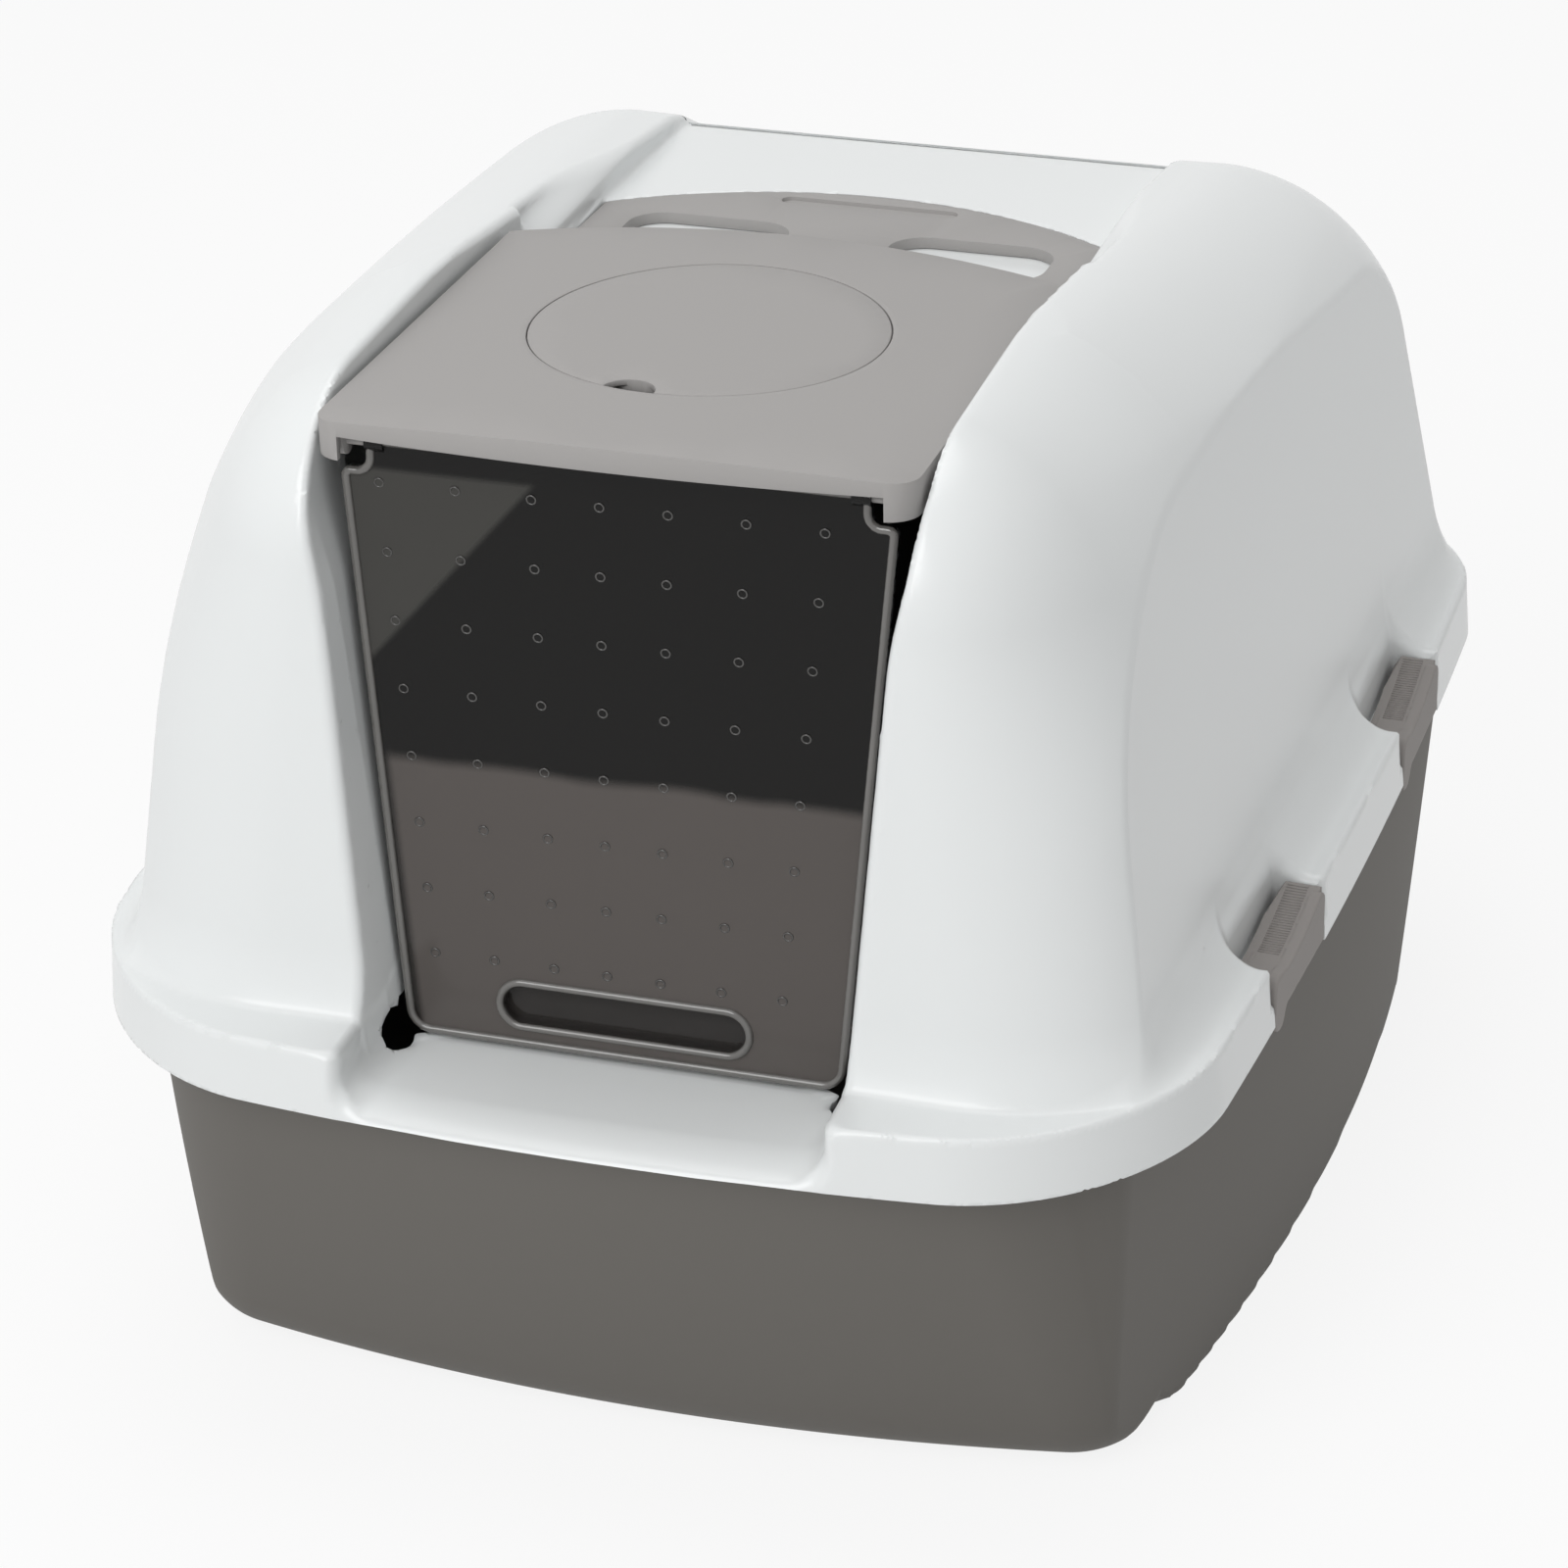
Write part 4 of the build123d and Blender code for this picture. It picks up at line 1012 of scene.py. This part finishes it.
class Tree:
    """Adds nodes to a node tree and links them."""

    def __init__(self, tree: bpy.types.NodeTree) -> None:
        """Start from the nodes that the tree has."""
        self.nodes = tree.nodes
        self.links = tree.links

    def set(self, socket: bpy.types.NodeSocket, value: object) -> None:
        """Link a value to a socket or write it there."""
        if isinstance(value, Value):
            self.links.new(value.socket, socket)
        else:
            socket.default_value = value

    def add(
        self,
        kind: str,
        settings: dict[str, object] | None = None,
        inputs: dict[int | str, object] | None = None,
        output: int | str = 0,
    ) -> Value:
        """Add a node.

        Args:
            kind: The node's type.
            settings: Its own settings, set first.
            inputs: Values or links for its sockets.
            output: Which of its outputs is returned.

        Returns:
            The chosen output.
        """
        node = self.nodes.new(kind)
        for key, value in (settings or {}).items():
            setattr(node, key, value)
        for key, value in (inputs or {}).items():
            self.set(node.inputs[key], value)
        return Value(self, node.outputs[output])

    def math(self, kind: str, *values: Value | float) -> Value:
        """Add one Math node."""
        return self.add("ShaderNodeMath", {"operation": kind}, dict(enumerate(values)))


class Coat(Tree):
    """Builds one material."""

    def __init__(self, name: str) -> None:
        """Start a new material."""
        self.material = bpy.data.materials.new(name)
        self.material.use_nodes = True
        super().__init__(self.material.node_tree)
        self.shader = self.nodes["Principled BSDF"]

    def place(self) -> Value:
        """The point of the piece that is being shaded, in metres."""
        return self.add("ShaderNodeTexCoord", output="Object")

    def noise(self, scale: float, detail: float = 2.0, rough: float = 0.5) -> Value:
        """Soft random value from 0 to 1 over the piece.

        Args:
            scale: Cells to a metre.
            detail: Octaves.
            rough: Weight of the finer octaves.

        Returns:
            The random value.
        """
        sockets = {"Vector": self.place(), "Scale": scale, "Detail": detail, "Roughness": rough}
        return self.add("ShaderNodeTexNoise", None, sockets)

    def ramp(self, value: Value) -> Value:
        """Ease a value from 0 to 1 with soft ends."""
        return self.add("ShaderNodeMapRange", {"interpolation_type": "SMOOTHSTEP"}, {"Value": value})

    def mix(self, share: Value, first: Value | Colour, second: Value | Colour) -> Value:
        """Blend two colours by how much of the second one shows."""
        settings = {"data_type": "RGBA", "clamp_factor": True}
        return self.add("ShaderNodeMix", settings, {0: share, 6: first, 7: second}, output=2)

    def bump(self, height: Value, depth: float) -> Value:
        """Turn a height from 0 to 1 into a bumped surface direction, with its depth in metres."""
        return self.add("ShaderNodeBump", None, {"Distance": depth, "Strength": 1.0, "Height": height})

    def dress(self, sockets: dict[str, object]) -> bpy.types.Material:
        """Feed the main shader's sockets by name and give back the finished material."""
        for key, value in sockets.items():
            self.set(self.shader.inputs[key], value)
        return self.material


class Repeater(Tree):
    """A Geometry Nodes group that sets one small form on every point of a mesh."""

    def __init__(self, name: str, sizes: Sequence[str], item: Callable[[Repeater], Value]) -> None:
        """Build the group.

        Args:
            name: The group's name.
            sizes: Names of the item's sizes.
            item: Adds the item's nodes and gives back its geometry.
        """
        self.sizes = sizes
        self.group = bpy.data.node_groups.new(name, "GeometryNodeTree")
        super().__init__(self.group)
        inputs = {"Points": "Geometry", **{label: "Float" for label in sizes}, "Turn": "Vector"}
        for label, kind in {**inputs, "Material": "Material"}.items():
            self.group.interface.new_socket(label, in_out="INPUT", socket_type=f"NodeSocket{kind}")
        self.group.interface.new_socket("Pieces", in_out="OUTPUT", socket_type="NodeSocketGeometry")
        given = self.nodes.new("NodeGroupInput").outputs
        self.inputs = {socket.name: Value(self, socket) for socket in given if socket.name}
        turn = self.add("FunctionNodeEulerToRotation", None, {"Euler": self.inputs["Turn"]})
        parts = {"Points": self.inputs["Points"], "Instance": item(self), "Rotation": turn}
        placed = self.add("GeometryNodeInstanceOnPoints", None, parts)
        solid = self.add("GeometryNodeRealizeInstances", None, {"Geometry": placed})
        coat = {"Geometry": solid, "Material": self.inputs["Material"]}
        coated = self.add("GeometryNodeSetMaterial", None, coat)
        self.set(self.nodes.new("NodeGroupOutput").inputs["Pieces"], coated)

    def circle(self, points: int, radius: str) -> Value:
        """A closed curve with one of the item's sizes as its radius."""
        sockets = {"Resolution": points, "Radius": self.inputs[radius]}
        return self.add("GeometryNodeCurvePrimitiveCircle", None, sockets)

    def ring(self) -> Value:
        """A small ring lying flat."""
        curves = {"Curve": self.circle(20, "Radius"), "Profile Curve": self.circle(8, "Tube")}
        return self.add("GeometryNodeCurveToMesh", None, curves)

    def rod(self) -> Value:
        """A thin upright rod."""
        sockets = {"Vertices": 8, "Radius": self.inputs["Radius"], "Depth": self.inputs["Length"]}
        return self.add("GeometryNodeMeshCylinder", None, sockets)

    def build(
        self, name: str, points: Array, turn: Point, sizes: Sequence[float], material: bpy.types.Material
    ) -> bpy.types.Object:
        """Set the item on each point.

        Args:
            name: Name of the piece.
            points: Places in millimetres.
            turn: Rotation of every item.
            sizes: The item's sizes in millimetres, in the order of their names.
            material: What the items are made of.

        Returns:
            One plain mesh object.
        """
        cloud = bpy.data.meshes.new(f"{name}_points")
        cloud.from_pydata((points * MM).tolist(), [], [])
        host = place_in_scene(f"{name}_points", cloud)
        modifier = host.modifiers.new("repeat", "NODES")
        modifier.node_group = self.group
        wanted = {label: size * MM for label, size in zip(self.sizes, sizes)}
        wanted.update({"Turn": turn, "Material": material})
        for socket in self.group.interface.items_tree:
            if socket.name in wanted:
                modifier[socket.identifier] = wanted[socket.name]
        host.update_tag()
        graph = bpy.context.evaluated_depsgraph_get()
        mesh = bpy.data.meshes.new_from_object(host.evaluated_get(graph))
        bpy.data.objects.remove(host)
        mesh.polygons.foreach_set("use_smooth", np.ones(len(mesh.polygons), bool))
        LOG.info("%s: %d faces", name, len(mesh.polygons))
        return place_in_scene(name, mesh)


def linear(red: int, green: int, blue: int) -> Colour:
    """Change a screen colour from 0 to 255 into light values."""
    parts = np.array((red, green, blue)) / 255
    low, high = parts / 12.92, ((parts + 0.055) / 1.055) ** 2.4
    return (*np.where(parts <= 0.04045, low, high).tolist(), 1.0)


def dress(
    piece: bpy.types.Object, body: str, material: bpy.types.Material, slot: str, *nodes: str
) -> None:
    """Give a piece its material, its body and the solids that it stands for."""
    piece.data.materials.clear()
    piece.data.materials.append(material)
    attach(piece, body)
    if nodes:
        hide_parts(*nodes)


@dataclass(frozen=True)
class Finish:
    """A moulded plastic finish.

    Args:
        name: Name of the material.
        colour: Screen colour.
        gloss: Mean roughness.
        grain: Height of the moulded grain in metres.
        grain_scale: Grains to a metre.
        cloud: How much the colour drifts over the piece.
        cloud_scale: Clouds to a metre.
        smear: How much the roughness drifts each way.
        smear_scale: Smears to a metre.
    """

    name: str
    colour: Screen
    gloss: float
    grain: float
    grain_scale: float
    cloud: float = 0.03
    cloud_scale: float = 9.0
    smear: float = 0.03
    smear_scale: float = 40.0

    def make(self) -> bpy.types.Material:
        """Build the material once and give it back."""
        if self.name in bpy.data.materials:
            return bpy.data.materials[self.name]
        tree = Coat(self.name)
        tone = linear(*self.colour)[:3]
        shares = (1 - self.cloud, 1 + self.cloud)
        dark, light = [(*(min(1.0, part * share) for part in tone), 1.0) for share in shares]
        return tree.dress({
            "Base Color": tree.mix(tree.noise(self.cloud_scale, 3.0), dark, light),
            "Roughness": self.gloss - self.smear + 2 * self.smear * tree.noise(self.smear_scale),
            "Normal": tree.bump(tree.noise(self.grain_scale, 3.0, 0.6), self.grain),
        })

    def dress(self, piece: bpy.types.Object, body: str, *nodes: str) -> None:
        """Give a piece this finish, its body and the solids that it stands for."""
        dress(piece, body, self.make(), self.name, *nodes)


class Plastics(Enum):
    """The plastics of the box."""

    HOOD = Finish("hood_white", (236, 239, 239), 0.34, 0.00002, 1400.0, 0.01)
    PAN = Finish("pan_grey", (107, 101, 99), 0.28, 0.00005, 2600.0)
    LID = Finish("lid_grey", (143, 141, 139), 0.50, 0.00004, 3000.0, 0.02)
    LATCH = Finish("latch_grey", (146, 141, 138), 0.45, 0.00003, 3000.0, 0.02)


@dataclass(frozen=True)
class Smoke:
    """The flap's smoked clear plastic, with a painted reflection over its lower part and painted light in
    its upper left corner.

    Drops, the dish's sizes and the flap's own are in millimetres, the margin and corner_x in metres.
    A value named soft is the steepness of an edge, in steps to a metre.
    """

    flap: Flap
    clear: Screen = (16, 15, 14)
    pale: Screen = (66, 65, 62)
    painted_reflection: Screen = (90, 85, 82)
    painted_reflection_drop: float = 119.0
    painted_reflection_soft: float = 160.0
    wave_scale: float = 22.0
    wave: Pair = (0.9, 0.25)
    margin: float = 0.088
    margin_slope: float = 0.095
    margin_soft: float = 250.0
    margin_depth: float = 0.85
    corner_drops: Pair = (8.0, 88.0)
    corner_x: float = -0.097
    corner_way: Pair = (0.656, 0.755)
    corner_soft: float = 300.0
    dish_rise: float = 0.5
    dish_inset: float = 1.0
    dish_soft: float = 900.0
    dish_depth: float = 0.75
    gloss: Pair = (0.07, 0.04)
    alpha: Pair = (0.88, 0.04)
    mirror: float = 0.25

    def height(self, drop: float) -> float:
        """Height in metres of a place below the pivot."""
        return (self.flap.pivot[1] - drop) * MM

    def shade(self, tree: Coat) -> Value:
        """The colour over the flap: its dark smoke, painted light in the upper left corner and a painted
        reflection over the lower part.
        """
        across = tree.add("ShaderNodeSeparateXYZ", None, {0: tree.place()})
        up = Value(tree, across.socket.node.outputs["Z"])
        # Painted reflection over the lower part, with a wavy top edge, fading towards the left side and
        # inside the grip dish.
        below = self.height(self.painted_reflection_drop) - up
        rough, shift = self.wave
        low = tree.ramp(below * self.painted_reflection_soft + rough * tree.noise(self.wave_scale) - shift)
        beside = tree.ramp((self.margin_slope * below - across - self.margin) * self.margin_soft)
        painted_reflection = low * (1.0 - self.margin_depth * beside)
        # Painted light: the upper left corner turns pale, standing in for the lit inner wall of the hood
        # seen through the smoke.
        top, bottom = (self.height(drop) for drop in self.corner_drops)
        over = (up - bottom) * self.corner_way[0] - (across - self.corner_x) * self.corner_way[1]
        corner = tree.ramp(over * self.corner_soft) * tree.ramp((top - up) * self.corner_soft)
        past = tree.math("ABSOLUTE", across) - self.flap.grip_half * MM
        past = tree.math("MAXIMUM", past, 0.0)
        level = up - self.height(self.flap.drop - self.flap.grip_rise - self.dish_rise)
        reach = tree.math("POWER", past * past + level * level, 0.5)
        radius = (self.flap.grip_radius - self.dish_inset) * MM
        painted_reflection = painted_reflection * (1.0 - self.dish_depth * tree.ramp((radius - reach) * self.dish_soft))
        shade = tree.mix(corner, linear(*self.clear), linear(*self.pale))
        return tree.mix(painted_reflection, shade, linear(*self.painted_reflection))

    def make(self) -> bpy.types.Material:
        """Build the material."""
        tree = Coat("flap_smoke")
        drift = tree.noise(12.0)
        return tree.dress({
            "Base Color": self.shade(tree),
            "Roughness": self.gloss[0] + self.gloss[1] * drift,
            "Alpha": self.alpha[0] + self.alpha[1] * drift,
            "Normal": tree.bump(tree.noise(40.0), 0.00003),
            "Specular IOR Level": self.mirror,
        })


def bead_material(name: str, dark: Screen, light: Screen) -> bpy.types.Material:
    """Build the glossier finish of the flap's rounded edge or of its rings."""
    tree = Coat(name)
    drift = tree.noise(30.0)
    return tree.dress({
        "Base Color": tree.mix(drift, linear(*dark), linear(*light)),
        "Roughness": 0.10 + 0.04 * drift,
        "Coat Weight": 0.6,
    })


def felt_material() -> bpy.types.Material:
    """Build the carbon pad's black felt."""
    tree = Coat("carbon_felt")
    fibre = tree.noise(900.0, 4.0, 0.7)
    return tree.dress({
        "Base Color": tree.mix(fibre, linear(22, 22, 22), linear(46, 46, 46)),
        "Roughness": 0.9 + 0.06 * fibre,
        "Normal": tree.bump(fibre, 0.0004),
    })


def soften(node: bpy.types.Object, width: float, material: bpy.types.Material) -> None:
    """Shade a solid's flat faces cleanly with small rounded edges.

    Args:
        node: The solid's object.
        width: Edge rounding in millimetres.
        material: What it is made of.
    """
    weld = node.modifiers.new("weld", "WELD")
    weld.merge_threshold = 0.00001
    bevel = node.modifiers.new("edges", "BEVEL")
    bevel.width = width * MM
    bevel.segments = 2
    bevel.limit_method = "ANGLE"
    bevel.angle_limit = math.radians(40)
    bevel.harden_normals = True
    bevel.use_clamp_overlap = True
    node.data.materials.clear()
    node.data.materials.append(material)
    node.data.polygons.foreach_set("use_smooth", np.ones(len(node.data.polygons), bool))
    LOG.info("%s: softened solid", node.name)


@dataclass(frozen=True)
class Photo:
    """The photograph's viewpoint, in radians and metres."""

    azimuth: float = 0.315
    elevation: float = 0.489
    roll: float = -0.024
    distance: float = 2.0518
    target: Point = (-0.0057, -0.0101, 0.168)
    focal_px: float = 5163.9
    frame_px: float = 1600.0
    sensor: float = 36.0

    def camera(self) -> None:
        """Make the camera."""
        back = Vector((
            math.sin(self.azimuth) * math.cos(self.elevation),
            -math.cos(self.azimuth) * math.cos(self.elevation),
            math.sin(self.elevation),
        ))
        data = bpy.data.cameras.new("camera")
        data.sensor_width = self.sensor
        data.lens = self.focal_px * self.sensor / self.frame_px
        data.clip_start, data.clip_end = 0.05, 50.0
        camera = place_in_scene("camera", data)
        look = (-back).to_track_quat("-Z", "Y").to_matrix().to_4x4()
        turn = Matrix.Rotation(self.roll, 4, "Z")
        camera.matrix_world = Matrix.Translation(Vector(self.target) + back * self.distance) @ look @ turn
        bpy.context.scene.camera = camera


@dataclass(frozen=True)
class Lamp:
    """One soft studio light, in metres and watts."""

    name: str
    place: Point
    size: float
    power: float
    target: Point = (0.0, 0.0, 0.2)

    def make(self) -> None:
        """Hang the light, aimed at the object."""
        data = bpy.data.lights.new(self.name, "AREA")
        data.shape = "DISK"
        data.size = self.size
        data.energy = self.power
        lamp = place_in_scene(self.name, data)
        lamp.location = self.place
        aim = Vector(self.target) - Vector(self.place)
        lamp.rotation_euler = aim.to_track_quat("-Z", "Y").to_euler()


@dataclass(frozen=True)
class Studio:
    """Pale floor, white surroundings and soft lamps."""

    lamps: Iterable[Lamp] = (
        Lamp("key", (-0.6, -2.5, 2.1), 2.2, 47.0),
        Lamp("top", (-0.2, 0.4, 3.0), 2.4, 28.0),
    )
    ambient: float = 0.38
    white: Colour = (1.0, 1.0, 1.0, 1.0)
    floor_shade: Colour = (0.86, 0.86, 0.86, 1.0)
    floor_glow: float = 0.86
    floor_half: float = 6.0

    def build(self) -> None:
        """Make the world, the floor and the lamps."""
        for lamp in self.lamps:
            lamp.make()
        self.world()
        self.floor()
        bpy.context.scene.view_settings.view_transform = "Standard"

    def world(self) -> None:
        """White to the eye and in reflections, softer as light."""
        world = bpy.data.worlds.new("studio")
        bpy.context.scene.world = world
        world.use_nodes = True
        tree = Tree(world.node_tree)
        sockets = {"Value": self.seen(tree), "To Min": self.ambient, "To Max": 1.0}
        background = tree.nodes["Background"]
        tree.set(background.inputs["Color"], self.white)
        tree.set(background.inputs["Strength"], tree.add("ShaderNodeMapRange", None, sockets))

    @staticmethod
    def seen(tree: Tree) -> Value:
        """A value of 1 for the eye's own rays and those that mirrors and clear parts pass on."""
        path = tree.add("ShaderNodeLightPath").socket.node
        kinds = ("Is Camera Ray", "Is Glossy Ray", "Is Transmission Ray")
        rays = [Value(tree, path.outputs[kind]) for kind in kinds]
        return reduce(lambda one, two: tree.math("MAXIMUM", one, two), rays)

    def floor(self) -> None:
        """A wide pale floor that shows white and keeps the object's shadow."""
        corners = np.array([(-1, -1, 0), (1, -1, 0), (1, 1, 0), (-1, 1, 0)]) * self.floor_half
        mesh = mesh_from("floor", corners, np.array([[0, 1, 2, 3]]))
        floor = place_in_scene("floor", mesh)
        tree = Coat("floor_white")
        mesh.materials.append(tree.dress({"Base Color": self.floor_shade, "Roughness": 0.9}))
        glow = tree.add("ShaderNodeEmission", None, {"Color": self.white})
        parts = {0: self.floor_glow * self.seen(tree), 1: Value(tree, tree.shader.outputs[0]), 2: glow}
        surface = tree.add("ShaderNodeMixShader", None, parts)
        tree.set(tree.nodes["Material Output"].inputs["Surface"], surface)


def main() -> None:
    """Build the litter box and its studio."""
    logging.basicConfig(level=logging.INFO, format="%(name)s %(message)s")
    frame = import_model()
    nodes = frame["nodes"]
    HoodShell().build(Plastics.HOOD.value)
    Pan().build(Plastics.PAN.value)
    for name in ("top_lid", "filter_cover", "carry_handle"):
        soften(nodes[name], 0.5, Plastics.LID.value.make())
    Flap().build()
    for place, place_y in LATCH_YS.items():
        for hand, side in (("right", 1), ("left", -1)):
            Latch(f"{place}_{hand}", side, place_y).build(Plastics.LATCH.value)
    soften(nodes["filter_carbon_pad"], 0.6, felt_material())
    Studio().build()
    Photo().camera()


if __name__ == "__main__":
    main()
